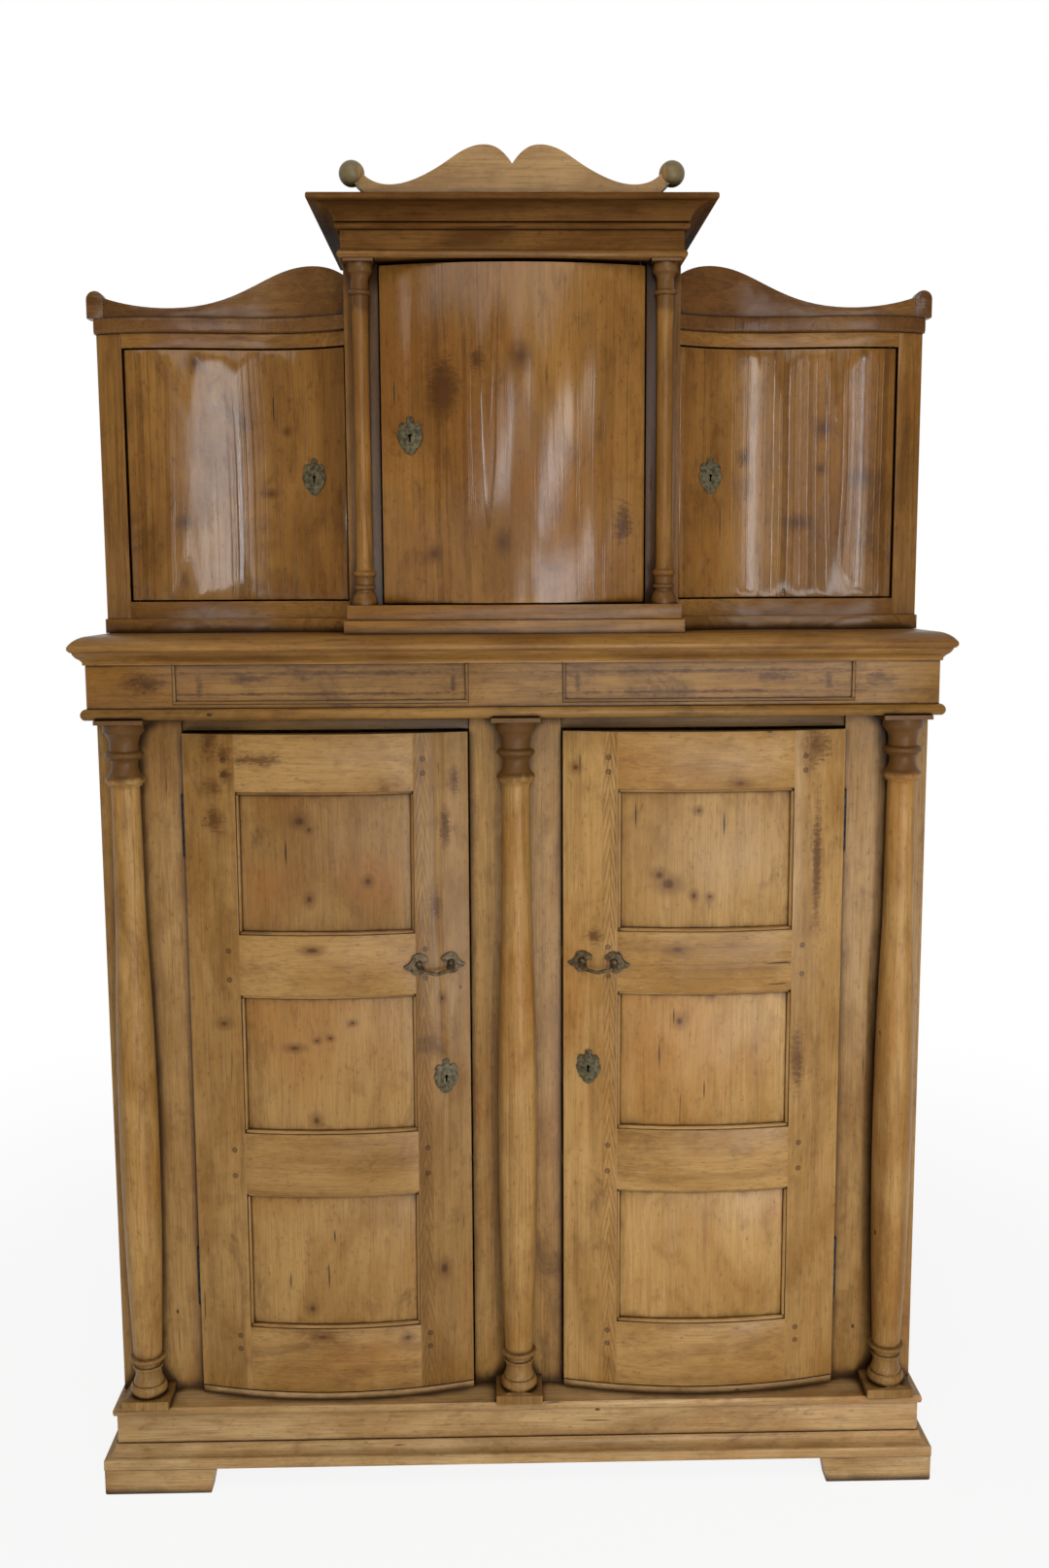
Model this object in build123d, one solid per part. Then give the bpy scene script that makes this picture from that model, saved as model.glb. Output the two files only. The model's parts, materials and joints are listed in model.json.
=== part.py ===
from build123d import *
import os
from math import asin, atan2, cos, degrees, sin, sqrt

# A two-part pine cupboard. The lower case has two bowed doors between three turned columns.
# The upper case has a tall bowed centre with a broken-scroll crest, and two serpentine wings.
# Millimetres. X runs to the right, Y to the back and Z up; the origin is on the floor, mid plan.

# ---- Boards and fits ----
BOARD = 22              # carcass boards
BACK_T = 14             # back boards
SHELF_T = 20
FIT = 0.3               # clearance between pieces that are only laid together
SEAT = 0.1              # clearance under metal fixed to a curved face
DOOR_GAP = 3            # clearance round every door
CLEAT = 20              # square section of the shelf cleats

# ---- Lower case: plan ----
CASE_HALF = 699         # half width at the sides, frieze and plinth
DEPTH = 567             # front of the crown slab to the back
BASE_OUT = 21           # overhang of the base moulding and feet
NOSING_OUT = 6
ASTRAGAL_OUT = 9
CORNICE_OUT = 17
TOP_OUT = 23
BAY = 62                # frieze face to stile face, the depth that the columns stand in
OUTER_STILE = 140
CENTRE_STILE = 154
STILE_T = 36

# ---- Lower case: heights, from the floor up ----
FOOT_H = 45
PLINTH_H = 91
BOTTOM_T = 14
CASE_H = 1196
ASTRAGAL_T = 18
FRIEZE_H = 93
TOP_T = 26
BASE_MOULD_H = 39
CORNICE_H = 21
HEADER_H = 24
HEADER_SET = 5          # header face behind the stile face
HEADER_T = 15
FOOT_W = 193
FOOT_T = 34
FOOT_SLANT = 9
FOOT_L = 150
REAR_FOOT = 70
PANEL_SINK = 3          # depth of the sunk frieze panels
BEAD_W = 5
BEAD_OUT = 4
BEAD_RISE = 7           # foot of the frieze panels above the astragal

# ---- Lower doors ----
DOOR_RISE = 16          # door foot above the bottom board
DOOR_T = 28
DOOR_PROUD = 16         # upright edges of a door in front of the stiles
DOOR_BOW = 35
SILL_H = 13             # bowed strip under each door
SILL_T = 24
SILL_SET = 1.5          # strip behind the door face
LOCK_STILE = 91
HINGE_STILE = 89
TOP_RAIL = 96
UPPER_RAIL = 104
LOWER_RAIL = 108
BOTTOM_RAIL = 115
PANEL_SET = 9           # panel face behind the frame face
PANEL_T = 9
DOOR_BEAD = 6
BEAD_ROUND = 4.5
KEY_IN = 42             # keyhole from the edge of a lower door
KEY_Z_LEFT = 727
KEY_Z_RIGHT = 741
PULL_IN = 59            # middle of a pull from the edge of the door
PULL_Z = 927
PULL_W = 106
PULL_LEAF_T = 3.5
PULL_BOSS_R = 6
PULL_REACH = 21
PULL_DROP = 15
PULL_BOW_R = 3
HINGE_RISE = 195        # middle of the lower hinge above the foot of the door
HINGE_DROP = 157        # middle of the upper hinge below the head of the door
HINGE_H = 104

# ---- Hinges with lift-off knuckles ----
KNUCKLE_R = 5.5
PIN_R = 3
PIN_PLAY = 0.05         # radial running clearance
PIN_SET = 2             # pin axis in front of the stile face
KNUCKLE_PLAY = 0.5      # between a knuckle and the groove that it turns in
LEAF_T = 2
LEAF_W = 30
LEAF_END = 6            # leaf ends inside the knuckle ends

# ---- Locks and escutcheons ----
LOCK_W = 60
LOCK_H = 58
LOCK_T = 11
LOCK_EDGE = 1.5         # lock case inside the door edge
BOLT_W = 15
BOLT_T = 6
BOLT_L = 34
BOLT_THROW = 10
MORTISE_PLAY = 1.2
PLATE_W = 42
PLATE_H = 60
PLATE_T = 1.8
PLATE_RAISE = 1
KEYHOLE_R = 2.8
KEYHOLE_W = 2.8
KEYHOLE_L = 10

# ---- Columns of the lower case ----
CAP_W = 80
CAP_D = 74
CAP_T = 7
CAP_IN = 12             # side of a cap inside the side of the case
BLOCK_T = 15
SHAFT_TOP_R = 23.5
SHAFT_BELLY_R = 30.5
SHAFT_FOOT_R = 24

# ---- Upper case: plan ----
UPPER_HALF = 697
UPPER_SET = 20          # upper frieze face behind the lower frieze face
UPPER_BAY = 45
CENTRE_HALF = 274
PILASTER_W = 56
CENTRE_PROUD = 14       # upright edges of the centre door in front of the pilasters
CENTRE_BOW = 34
CENTRE_DOOR_T = 26
PILASTER_T = 30
UPPER_CAP = 48
STEP_OUT = 8
STEP_IN = 5
SOFFIT_OUT = 5
SLAB_OUT = 48
COVE_OUT = 42
WING_SET = 135          # outer end of a wing behind the upper frieze face
WING_SWEEP = 48         # the wing's inner end comes forward by this
WING_LEAD = 0.416       # slope of the wing front at its outer end
WING_TAIL = 0.664       # slope of the wing front at its inner end
WING_DOOR_LAP = 6       # wing door from the side of the centre
POST_W = 44
POST_T = 34
RAIL_T = 26
WING_DOOR_SET = 2
WING_DOOR_T = 20
WING_TOP_OUT = 6
WING_SIDE_OUT = 3
CREST_SET = 3
CREST_T = 18
CREST_WAVE = ((0, 0.68), (0.14, 0.93), (0.24, 0.88), (0.38, 0.6), (0.52, 0.32), (0.77, 0.17),
              (1, 0.38))
WING_KEY_IN = 56
WING_KEY_Z = 1744
CENTRE_KEY_IN = 47
CENTRE_KEY_Z = 1803

# ---- Upper case: heights ----
STEP_LOW_H = 22
STEP_HIGH_H = 25
CENTRE_H = 548
SOFFIT_T = 12
ENTABLATURE_H = 68
SLAB_T = 10
ROLL_R = 6
COVE_H = 25
WING_BASE_H = 24
WING_SILL_H = 53
WING_DOOR_H = 421
WING_HEAD_H = 24
WING_TOP_T = 26
CREST_H = 88
KNOB_H = 45
KNOB_W = 29
KNOB_D = 26
PEDIMENT_H = 83
PEDIMENT_T = 22
PEDIMENT_WAVE = ((0.047, 0.83), (0.11, 0.965), (0.185, 1), (0.32, 0.87), (0.41, 0.69),
                 (0.55, 0.445), (0.715, 0.28), (0.825, 0.29))
BALL_R = 20.5
BALL_IN = 20            # middle of a ball inside the side of the centre
BALL_RISE = 41
PIVOT_R = 3.5
PIVOT_SEAT = 14         # pivot pin's length in the rail
PIVOT_REACH = 12        # pivot pin's length in the door
PIVOT_IN = 10           # pivot axis from the hanging edge of a wing door
CENTRE_PIVOT_IN = 8
CENTRE_TOP_GAP = 6
UPPER_SHELF_RISE = 178  # above the floor of the upper case
LOWER_SHELF_RISE = (370, 755)
SHELF_SET = 150         # shelf front behind the lower frieze face

# ---- Planes and levels that follow ----
FRONT = -DEPTH / 2
BACK = DEPTH / 2
FASCIA = FRONT + max(BASE_OUT, TOP_OUT, SLAB_OUT - UPPER_SET)
STILE_FACE = FASCIA + BAY
STILE_BACK = STILE_FACE + STILE_T
COLUMN_Y = STILE_FACE - FIT - CAP_D / 2
COLUMN_X = CASE_HALF - CAP_IN - CAP_W / 2
Z_BOTTOM = FOOT_H + PLINTH_H
Z_CASE = Z_BOTTOM + BOTTOM_T
Z_ASTRAGAL = Z_CASE + CASE_H
Z_FRIEZE = Z_ASTRAGAL + ASTRAGAL_T
Z_TOP = Z_FRIEZE + FRIEZE_H
Z_UPPER = Z_TOP + TOP_T
DOOR_IN = CENTRE_STILE / 2 + DOOR_GAP
DOOR_OUT = CASE_HALF - OUTER_STILE - DOOR_GAP
DOOR_Z0 = Z_CASE + DOOR_RISE
DOOR_Z1 = Z_ASTRAGAL - HEADER_H - DOOR_GAP
KEY_X = DOOR_IN + KEY_IN
PULL_X = DOOR_IN + PULL_IN
HINGE_Z = (DOOR_Z0 + HINGE_RISE, DOOR_Z1 - HINGE_DROP)
UPPER_FASCIA = FASCIA + UPPER_SET
CENTRE_DOOR_HALF = CENTRE_HALF - PILASTER_W - DOOR_GAP
PILASTER_FACE = UPPER_FASCIA + UPPER_BAY
PILASTER_BACK = PILASTER_FACE + PILASTER_T
UPPER_COLUMN_Y = PILASTER_FACE - FIT - UPPER_CAP / 2
PILASTER_IN = CENTRE_DOOR_HALF + DOOR_GAP
UPPER_COLUMN_X = (PILASTER_IN + CENTRE_HALF) / 2
Z_STEP = Z_UPPER + STEP_LOW_H
Z_DECK = Z_STEP + STEP_HIGH_H
Z_SOFFIT = Z_DECK + CENTRE_H
Z_ENTABLATURE = Z_SOFFIT + SOFFIT_T
Z_SLAB = Z_ENTABLATURE + ENTABLATURE_H
Z_CROWN = Z_SLAB + SLAB_T
WING_FACE = UPPER_FASCIA + WING_SET
WING_SPAN = UPPER_HALF - CENTRE_HALF
Z_SILL = Z_UPPER + WING_SILL_H
Z_HEAD = Z_SILL + WING_DOOR_H
Z_WING = Z_HEAD + WING_HEAD_H
Z_CREST = Z_WING + WING_TOP_T
WING_DOOR_IN = CENTRE_HALF + WING_DOOR_LAP
WING_DOOR_OUT = UPPER_HALF - POST_W - DOOR_GAP
WING_KEY_X = WING_DOOR_IN + WING_KEY_IN
CENTRE_KEY_X = CENTRE_KEY_IN - CENTRE_DOOR_HALF
BALL_X = CENTRE_HALF - BALL_IN
UPPER_SHELF_Z = Z_DECK + UPPER_SHELF_RISE
LOWER_SHELF_Z = tuple(Z_CASE + rise for rise in LOWER_SHELF_RISE)


# ---- Shape helpers ----
def block(x0, x1, y0, y1, z0, z1):
    """A straight board between six planes."""
    size = Box(x1 - x0, y1 - y0, z1 - z0)
    return Pos((x0 + x1) / 2, (y0 + y1) / 2, (z0 + z1) / 2) * size


def outline(start, *moves):
    """A face from straight moves (a, b) and arc moves (a, b, c, d) through (a, b)."""
    edges = []
    here = start
    for move in moves:
        if len(move) == 2:
            edges.append(Line(here, move))
            here = move
        else:
            edges.append(ThreePointArc(here, move[:2], move[2:]))
            here = move[2:]
    if here != start:
        edges.append(Line(here, start))
    return make_face(edges)


def rise(face, z0, z1):
    """Pull a plan face up between two levels."""
    return Pos(0, 0, z0) * extrude(face, z1 - z0)


def both(piece):
    """A right-hand piece and its left-hand mirror image."""
    return [piece, mirror(piece, Plane.YZ)]


def pulled_out(edge, half, face):
    """An edge section placed on the right side and on the front of a plan."""
    side = [tuple(v + half if i % 2 == 0 else v for i, v in enumerate(m)) for m in edge]
    front = [tuple(face - v if i % 2 == 0 else v for i, v in enumerate(m)) for m in edge]
    return side, front


def moulded_board(half, face, back, edge):
    """A board whose front and ends have the edge section, drawn as (out, z) from foot to top."""
    side, front = pulled_out(edge, half, face)
    z0, z1 = edge[0][1], edge[-1][-1]
    reach = DEPTH + TOP_OUT
    ends = Plane.XZ * outline((0, z0), *side, (0, z1))
    lengthways = Plane.YZ * outline((back, z0), *front, (back, z1))
    right = extrude(ends, reach, both=True) & extrude(lengthways, half + reach)
    return right + mirror(right, Plane.YZ)


def mitred_moulding(half, face, back, edge):
    """Front and return lengths of a planted moulding, mitred at the corners."""
    side, front = pulled_out(edge, half, face)
    z0, z1 = edge[0][1], edge[-1][-1]
    reach = half + DEPTH
    tip = DEPTH
    plan = outline((half, face), (half + tip, face - tip), (-half - tip, face - tip), (-half, face))
    length = extrude(Plane.YZ * outline(*front), reach, both=True) & rise(plan, z0, z1)
    plan = outline((half, face), (half + tip, face - tip), (half + tip, back), (half, back))
    end = extrude(Plane.XZ * outline(*side), reach, both=True) & rise(plan, z0, z1)
    return [length, *both(end)]


def save(name, pieces):
    """Write one named sub-part, which may be several separate solids."""
    solids = []
    for piece in pieces if isinstance(pieces, list) else [pieces]:
        solids.extend(piece.solids())
    shape = solids[0] if len(solids) == 1 else Compound(children=solids)
    shape.label = name
    export_step(shape, f"parts/{name}.step")


# ---- Bowed and serpentine fronts ----
class Bow:
    """The plan arc of a bowed door between two vertical edges."""

    def __init__(self, x0, x1, edge_y, bow, thickness):
        half = (x1 - x0) / 2
        self.x0, self.x1 = x0, x1
        self.mid = (x0 + x1) / 2
        self.radius = (half ** 2 + bow ** 2) / (2 * bow)
        self.centre_y = edge_y - bow + self.radius
        self.thickness = thickness
        self.door_face, self.door_back = 0, thickness

    def y(self, x, depth=0):
        return self.centre_y - sqrt((self.radius - depth) ** 2 - (x - self.mid) ** 2)

    def strip(self, x0, x1, z0, z1, depth=0, thickness=None):
        """A piece of the door between two upright planes, depth behind its face."""
        back = depth + (self.thickness if thickness is None else thickness)
        mid = (x0 + x1) / 2
        plan = outline((x0, self.y(x0, depth)),
                       (mid, self.y(mid, depth), x1, self.y(x1, depth)),
                       (x1, self.y(x1, back)),
                       (mid, self.y(mid, back), x0, self.y(x0, back)))
        return rise(plan, z0, z1)

    def frame(self, x, z, depth=0):
        """A place on the curve with local X along it and local Y into the door."""
        turn = asin((x - self.mid) / self.radius)
        reach = self.radius - depth
        spot = (self.mid + reach * sin(turn), self.centre_y - reach * cos(turn), z)
        return spot, turn


class Serpentine:
    """The right wing's plan curve, hollow at its inner end and swelling at its outer end."""

    def __init__(self):
        self.door_face, self.door_back = WING_DOOR_SET, WING_DOOR_SET + WING_DOOR_T
        self.a = WING_LEAD * WING_SPAN
        last = WING_TAIL * WING_SPAN
        self.b = 3 * WING_SWEEP - 2 * self.a - last
        self.c = self.a + last - 2 * WING_SWEEP

    def y(self, x, depth=0):
        u = (UPPER_HALF - x) / WING_SPAN
        return WING_FACE - (self.a * u + self.b * u ** 2 + self.c * u ** 3) + depth

    def slope(self, x):
        u = (UPPER_HALF - x) / WING_SPAN
        return (self.a + 2 * self.b * u + 3 * self.c * u ** 2) / WING_SPAN

    def edge(self, x0, x1, depth=0):
        third = (x1 - x0) / 3
        return Bezier((x0, self.y(x0, depth)),
                      (x0 + third, self.y(x0, depth) + self.slope(x0) * third),
                      (x1 - third, self.y(x1, depth) - self.slope(x1) * third),
                      (x1, self.y(x1, depth)))

    def strip(self, x0, x1, z0, z1, depth=0, thickness=RAIL_T):
        """A piece of the wing front between two upright planes."""
        back = depth + thickness
        face = make_face([self.edge(x0, x1, depth),
                          Line((x1, self.y(x1, depth)), (x1, self.y(x1, back))),
                          self.edge(x1, x0, back),
                          Line((x0, self.y(x0, back)), (x0, self.y(x0, depth)))])
        return rise(face, z0, z1)

    def board(self, x0, x1, z0, z1, depth, back):
        """A level board with this front edge and a straight back edge."""
        face = make_face([self.edge(x0, x1, depth),
                          Line((x1, self.y(x1, depth)), (x1, back)),
                          Line((x1, back), (x0, back)),
                          Line((x0, back), (x0, self.y(x0, depth)))])
        return rise(face, z0, z1)

    def frame(self, x, z, depth=0):
        """A place on the curve with local X along it and local Y into the door."""
        turn = atan2(self.slope(x), 1)
        inward = depth * cos(turn)
        spot = (x - inward * sin(turn), self.y(x) + inward * cos(turn), z)
        return spot, turn


def placed(place, piece):
    """Put a piece drawn in local axes at a place given by frame()."""
    spot, turn = place
    return Location(spot, (0, 0, degrees(turn))) * piece


DOOR = Bow(DOOR_IN, DOOR_OUT, STILE_FACE - DOOR_PROUD, DOOR_BOW, DOOR_T)
CENTRE = Bow(-CENTRE_DOOR_HALF, CENTRE_DOOR_HALF, PILASTER_FACE - CENTRE_PROUD, CENTRE_BOW,
             CENTRE_DOOR_T)
WING = Serpentine()


# ---- Lower case ----
def lower_uprights():
    side = block(CASE_HALF - BOARD, CASE_HALF, STILE_BACK, BACK, Z_CASE, Z_ASTRAGAL)
    divider = block(-SHELF_T / 2, SHELF_T / 2, STILE_BACK, BACK - BACK_T, Z_CASE, Z_ASTRAGAL)
    return [*both(side), divider]


def back_boards(half, back, z0, z1, count):
    width = 2 * half / count
    return [block(-half + i * width, -half + (i + 1) * width, back - BACK_T, back, z0, z1)
            for i in range(count)]


def shelf_with_cleats(x0, x1, front, back, z):
    shelf = block(x0, x1, front, back, z, z + SHELF_T)
    left = block(x0, x0 + CLEAT, front + CLEAT, back, z - CLEAT, z)
    right = block(x1 - CLEAT, x1, front + CLEAT, back, z - CLEAT, z)
    return [shelf, left, right]


def lower_shelves():
    pieces = []
    for z in LOWER_SHELF_Z:
        for piece in shelf_with_cleats(SHELF_T / 2, CASE_HALF - BOARD,
                                       FASCIA + SHELF_SET, BACK - BACK_T, z):
            pieces.extend(both(piece))
    return pieces


def case_stiles(mortises, hinges):
    outer = block(CASE_HALF - OUTER_STILE, CASE_HALF, STILE_FACE, STILE_BACK, Z_CASE, Z_ASTRAGAL)
    for cut in hinges:
        outer -= cut
    half = CENTRE_STILE / 2
    centre = block(-half, half, STILE_FACE, STILE_BACK, Z_CASE, Z_ASTRAGAL)
    for cut in mortises:
        centre -= cut
    return [*both(outer), centre]


def door_headers():
    front = STILE_FACE + HEADER_SET
    header = block(CENTRE_STILE / 2, CASE_HALF - OUTER_STILE, front, front + HEADER_T,
                   Z_ASTRAGAL - HEADER_H, Z_ASTRAGAL)
    return both(header)


def bottom_board():
    """The bottom board, with a bowed strip on it under each door."""
    r = BOTTOM_T / 2
    edge = [(0, Z_BOTTOM), (NOSING_OUT - 2, Z_BOTTOM),
            (NOSING_OUT, Z_BOTTOM + r, NOSING_OUT - 2, Z_CASE), (0, Z_CASE)]
    sill = DOOR.strip(DOOR_IN, DOOR_OUT, Z_CASE, Z_CASE + SILL_H, SILL_SET, SILL_T)
    return [moulded_board(CASE_HALF, FASCIA, BACK, edge), *both(sill)]


def astragal_board():
    r = ASTRAGAL_T / 2
    edge = [(0, Z_ASTRAGAL), (ASTRAGAL_OUT - 5, Z_ASTRAGAL),
            (ASTRAGAL_OUT, Z_ASTRAGAL + r, ASTRAGAL_OUT - 5, Z_FRIEZE), (0, Z_FRIEZE)]
    return moulded_board(CASE_HALF, FASCIA, BACK, edge)


def box_frame(half, face, back, z0, z1):
    """Four boards on edge: front, two ends and back."""
    front = block(-half, half, face, face + BOARD, z0, z1)
    end = block(half - BOARD, half, face + BOARD, back, z0, z1)
    rear = block(-half + BOARD, half - BOARD, back - BOARD, back, z0, z1)
    return [front, *both(end), rear]


def frieze():
    front, *rest = box_frame(CASE_HALF, FASCIA, BACK, Z_FRIEZE, Z_TOP)
    sunk = block(CENTRE_STILE / 2, CASE_HALF - OUTER_STILE, FASCIA, FASCIA + PANEL_SINK,
                 Z_FRIEZE + BEAD_RISE, Z_TOP - CORNICE_H)
    for cut in both(sunk):
        front -= cut
    return [front, *rest]


def frieze_beads():
    """Thin beads at the foot and ends of each sunk panel."""
    x0, x1 = CENTRE_STILE / 2, CASE_HALF - OUTER_STILE
    y0, y1 = FASCIA + PANEL_SINK - BEAD_OUT, FASCIA + PANEL_SINK
    z0, z1 = Z_FRIEZE + BEAD_RISE, Z_TOP - CORNICE_H
    foot = block(x0, x1, y0, y1, z0, z0 + BEAD_W)
    inner = block(x0, x0 + BEAD_W, y0, y1, z0 + BEAD_W, z1)
    outer = block(x1 - BEAD_W, x1, y0, y1, z0 + BEAD_W, z1)
    return [*both(foot), *both(inner), *both(outer)]


def lower_cornice():
    """A fillet and an ogee under the top."""
    z0 = Z_TOP - CORNICE_H
    edge = [(0, z0), (3.5, z0), (3.5, z0 + 4),
            (5.5, z0 + 7, 9, z0 + 10),
            (13, z0 + 13.5, CORNICE_OUT, Z_TOP), (0, Z_TOP)]
    return mitred_moulding(CASE_HALF, FASCIA, BACK, edge)


def lower_top():
    """The top board, with a blunt nose and a broad thumb moulding above it."""
    nose = Z_TOP + 4
    edge = [(0, Z_TOP), (TOP_OUT - 4, Z_TOP), (TOP_OUT, nose), (TOP_OUT, nose + 5),
            (TOP_OUT - 14, Z_UPPER - 4, -6, Z_UPPER)]
    return moulded_board(CASE_HALF, FASCIA, BACK, edge)


def plinth():
    return box_frame(CASE_HALF, FASCIA, BACK, FOOT_H, Z_BOTTOM)


def base_moulding():
    z1 = FOOT_H + BASE_MOULD_H
    step = FOOT_H + 17
    edge = [(0, FOOT_H), (BASE_OUT, FOOT_H), (BASE_OUT, step), (BASE_OUT - 3, step + 2),
            (BASE_OUT - 12, step + 6, 4, z1), (0, z1)]
    return mitred_moulding(CASE_HALF, FASCIA, BACK, edge)


def feet():
    """Bracket feet: two boards at each front corner and a block at each back corner."""
    out = CASE_HALF + BASE_OUT
    face = FASCIA - BASE_OUT
    shape = outline((out - FOOT_W, FOOT_H), (out - FOOT_W + FOOT_SLANT, 0), (out, 0), (out, FOOT_H))
    front = Pos(0, face + FOOT_T, 0) * extrude(Plane.XZ * shape, FOOT_T)
    front = fillet(front.edges().filter_by(Axis.Z).group_by(Axis.Y)[0], 5)
    side = block(out - FOOT_T, out, face + FOOT_T, face + FOOT_L, 0, FOOT_H)
    rear = block(out - REAR_FOOT, out, BACK - REAR_FOOT, BACK, 0, FOOT_H)
    return [*both(front), *both(side), *both(rear)]


def lower_column():
    """One turned column with a square cap and a square block at its foot, drawn on the Z axis."""
    foot = Z_CASE + BLOCK_T
    head = Z_ASTRAGAL - CAP_T
    neck = head - 111
    belly = foot + (neck - foot) * 0.24
    profile = outline((0, foot), (28, foot), (31.5, foot + 10, 28, foot + 20), (26, foot + 20),
                      (26, foot + 24), (22.5, foot + 35, 23, foot + 47), (25.5, foot + 50, 23, foot + 53),
                      (21.5, foot + 55), (22, foot + 62), (29, foot + 64), (31, foot + 67, 28, foot + 70),
                      (SHAFT_FOOT_R, foot + 71),
                      (SHAFT_BELLY_R, belly, SHAFT_TOP_R + 2, foot + (neck - foot) * 0.78),
                      (SHAFT_TOP_R, neck), (SHAFT_TOP_R, neck + 7), (27.5, neck + 8), (27.5, neck + 11),
                      (32.5, neck + 17, 28.5, neck + 24), (23.5, neck + 32, 22.5, neck + 50),
                      (27, neck + 51), (27, neck + 54), (32, neck + 59, 27.5, neck + 64), (24, neck + 66),
                      (24, neck + 71), (26.5, neck + 88, 33.5, neck + 97), (33.5, head), (0, head))
    shaft = revolve(Plane.XZ * profile, Axis.Z)
    cap = block(-CAP_W / 2, CAP_W / 2, -CAP_D / 2, CAP_D / 2, head, Z_ASTRAGAL)
    base = block(-CAP_W / 2, CAP_W / 2, -CAP_D / 2, CAP_D / 2, Z_CASE, foot)
    return shaft + cap + base


def lower_columns():
    column = Pos(0, COLUMN_Y, 0) * lower_column()
    return [Pos(-COLUMN_X, 0, 0) * column, column, Pos(COLUMN_X, 0, 0) * column]


# ---- Hinges of the lower doors ----
HINGE_X = DOOR_OUT + DOOR_GAP / 2
HINGE_Y = STILE_FACE - PIN_SET


def hinge_frame_half(z):
    """Lower knuckle with its pin and the leaf let into the case stile."""
    half = HINGE_H / 2
    knuckle = Pos(0, 0, -half / 2 - FIT / 2) * Cylinder(KNUCKLE_R, half - FIT)
    pin = Pos(0, 0, -LEAF_END / 2) * Cylinder(PIN_R, HINGE_H - LEAF_END)
    leaf = block(0, LEAF_W, KNUCKLE_R - LEAF_T, KNUCKLE_R, LEAF_END - half, -LEAF_END)
    return Pos(HINGE_X, HINGE_Y, z) * (knuckle + pin + leaf)


def hinge_door_half(z):
    """Upper knuckle, bored for the pin, and the leaf let into the edge of the door stile."""
    half = HINGE_H / 2
    knuckle = Pos(0, 0, half / 2) * Cylinder(KNUCKLE_R, half)
    bore = Pos(0, 0, (half - LEAF_END + 1) / 2) * Cylinder(PIN_R + PIN_PLAY, half - LEAF_END + 1)
    leaf = block(-LEAF_W, 0, -LEAF_T / 2, LEAF_T / 2, LEAF_END, half - LEAF_END)
    return Pos(HINGE_X, HINGE_Y, z) * (knuckle + leaf - bore)


def hinge_cuts(side):
    """Groove and leaf slot for each hinge, on the case side (1) or the door side (-1)."""
    cuts = []
    half = HINGE_H / 2
    for z in HINGE_Z:
        groove = Pos(0, 0, 0) * Cylinder(KNUCKLE_R + KNUCKLE_PLAY, HINGE_H + 2)
        reach = side * (LEAF_W + FIT)
        x0, x1 = min(0, reach), max(0, reach)
        z0 = LEAF_END - half if side > 0 else LEAF_END
        z1 = -LEAF_END if side > 0 else half - LEAF_END
        middle = KNUCKLE_R - LEAF_T / 2 if side > 0 else 0
        deep = LEAF_T / 2 + FIT
        slot = block(x0, x1, middle - deep, middle + deep, z0 - FIT, z1 + FIT)
        cuts.append(Pos(HINGE_X, HINGE_Y, z) * (groove + slot))
    return cuts


# ---- Locks, escutcheons and pulls ----
class Lock:
    """A let-in lock beside a door's edge; its bolt slides along local -X."""

    def __init__(self, front, x, z, edge_x):
        self.front, self.x, self.z = front, x, z
        self.key_place = front.frame(x, z, front.door_face)
        self.place = front.frame(edge_x + LOCK_W / 2, z, front.door_back)
        spot, turn = self.place
        lean = max(0, -LOCK_T * sin(turn))
        self.end = LOCK_EDGE - (spot[0] - edge_x - lean) / cos(turn)

    def case(self):
        """The iron case, hollow for its bolt and pierced for the key."""
        body = block(self.end, self.end + LOCK_W, -LOCK_T, 0, -LOCK_H / 2, LOCK_H / 2)
        room = self.bolt_box(self.end - 1, self.end + BOLT_L + 2, FIT)
        return placed(self.place, body - room) - self.keyhole(self.front.door_back - 3)

    def bolt_box(self, x0, x1, play):
        mid = -LOCK_T / 2
        half_t, half_w = BOLT_T / 2 + play, BOLT_W / 2 + play
        return block(x0, x1, mid - half_t, mid + half_t, -half_w, half_w)

    def bolt(self):
        return placed(self.place, self.bolt_box(self.end, self.end + BOLT_L, 0))

    def pocket(self):
        """The recess in the back of the door, open at the lock edge for the bolt."""
        x0 = self.end - FIT
        room = block(x0, x0 + LOCK_W + 2 * FIT, -LOCK_T - FIT, LOCK_T, -LOCK_H / 2 - FIT,
                     LOCK_H / 2 + FIT)
        slot = self.bolt_box(x0 - 3 * LOCK_T, x0 + 1, MORTISE_PLAY)
        return placed(self.place, room + slot)

    def mortise(self):
        """The hole that the bolt enters."""
        x0 = self.end - BOLT_THROW - MORTISE_PLAY
        return placed(self.place, self.bolt_box(x0, self.end, MORTISE_PLAY))

    def keyhole(self, depth):
        """A round hole with a slot below it, running into the door."""
        hole = Rot(90, 0, 0) * Cylinder(KEYHOLE_R, 2 * depth)
        slot = block(-KEYHOLE_W / 2, KEYHOLE_W / 2, -depth, depth, -KEYHOLE_L, 0)
        return placed(self.key_place, hole + slot)

    def escutcheon(self):
        """A cast cartouche plate with a raised oval round its keyhole, bent to the door."""
        field = outline(*CARTOUCHE)
        field = field + mirror(field, Plane.YZ)
        oval = Ellipse(PLATE_W * 0.22, PLATE_H * 0.25)
        plate = self.bent(field, 0, PLATE_T) + self.bent(oval, PLATE_T, PLATE_RAISE)
        return plate - self.keyhole(PLATE_T * 4)

    def bent(self, shape, lift, thick):
        """A flat outline laid on the curve of the door, lift above its face."""
        prism = placed(self.key_place, extrude(Plane.XZ * shape, 3 * PLATE_T, both=True))
        depth = self.front.door_face - SEAT - lift - thick
        sheet = self.front.strip(self.x - PLATE_W, self.x + PLATE_W, self.z - PLATE_H,
                                 self.z + PLATE_H, depth, thick)
        return prism & sheet


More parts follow.
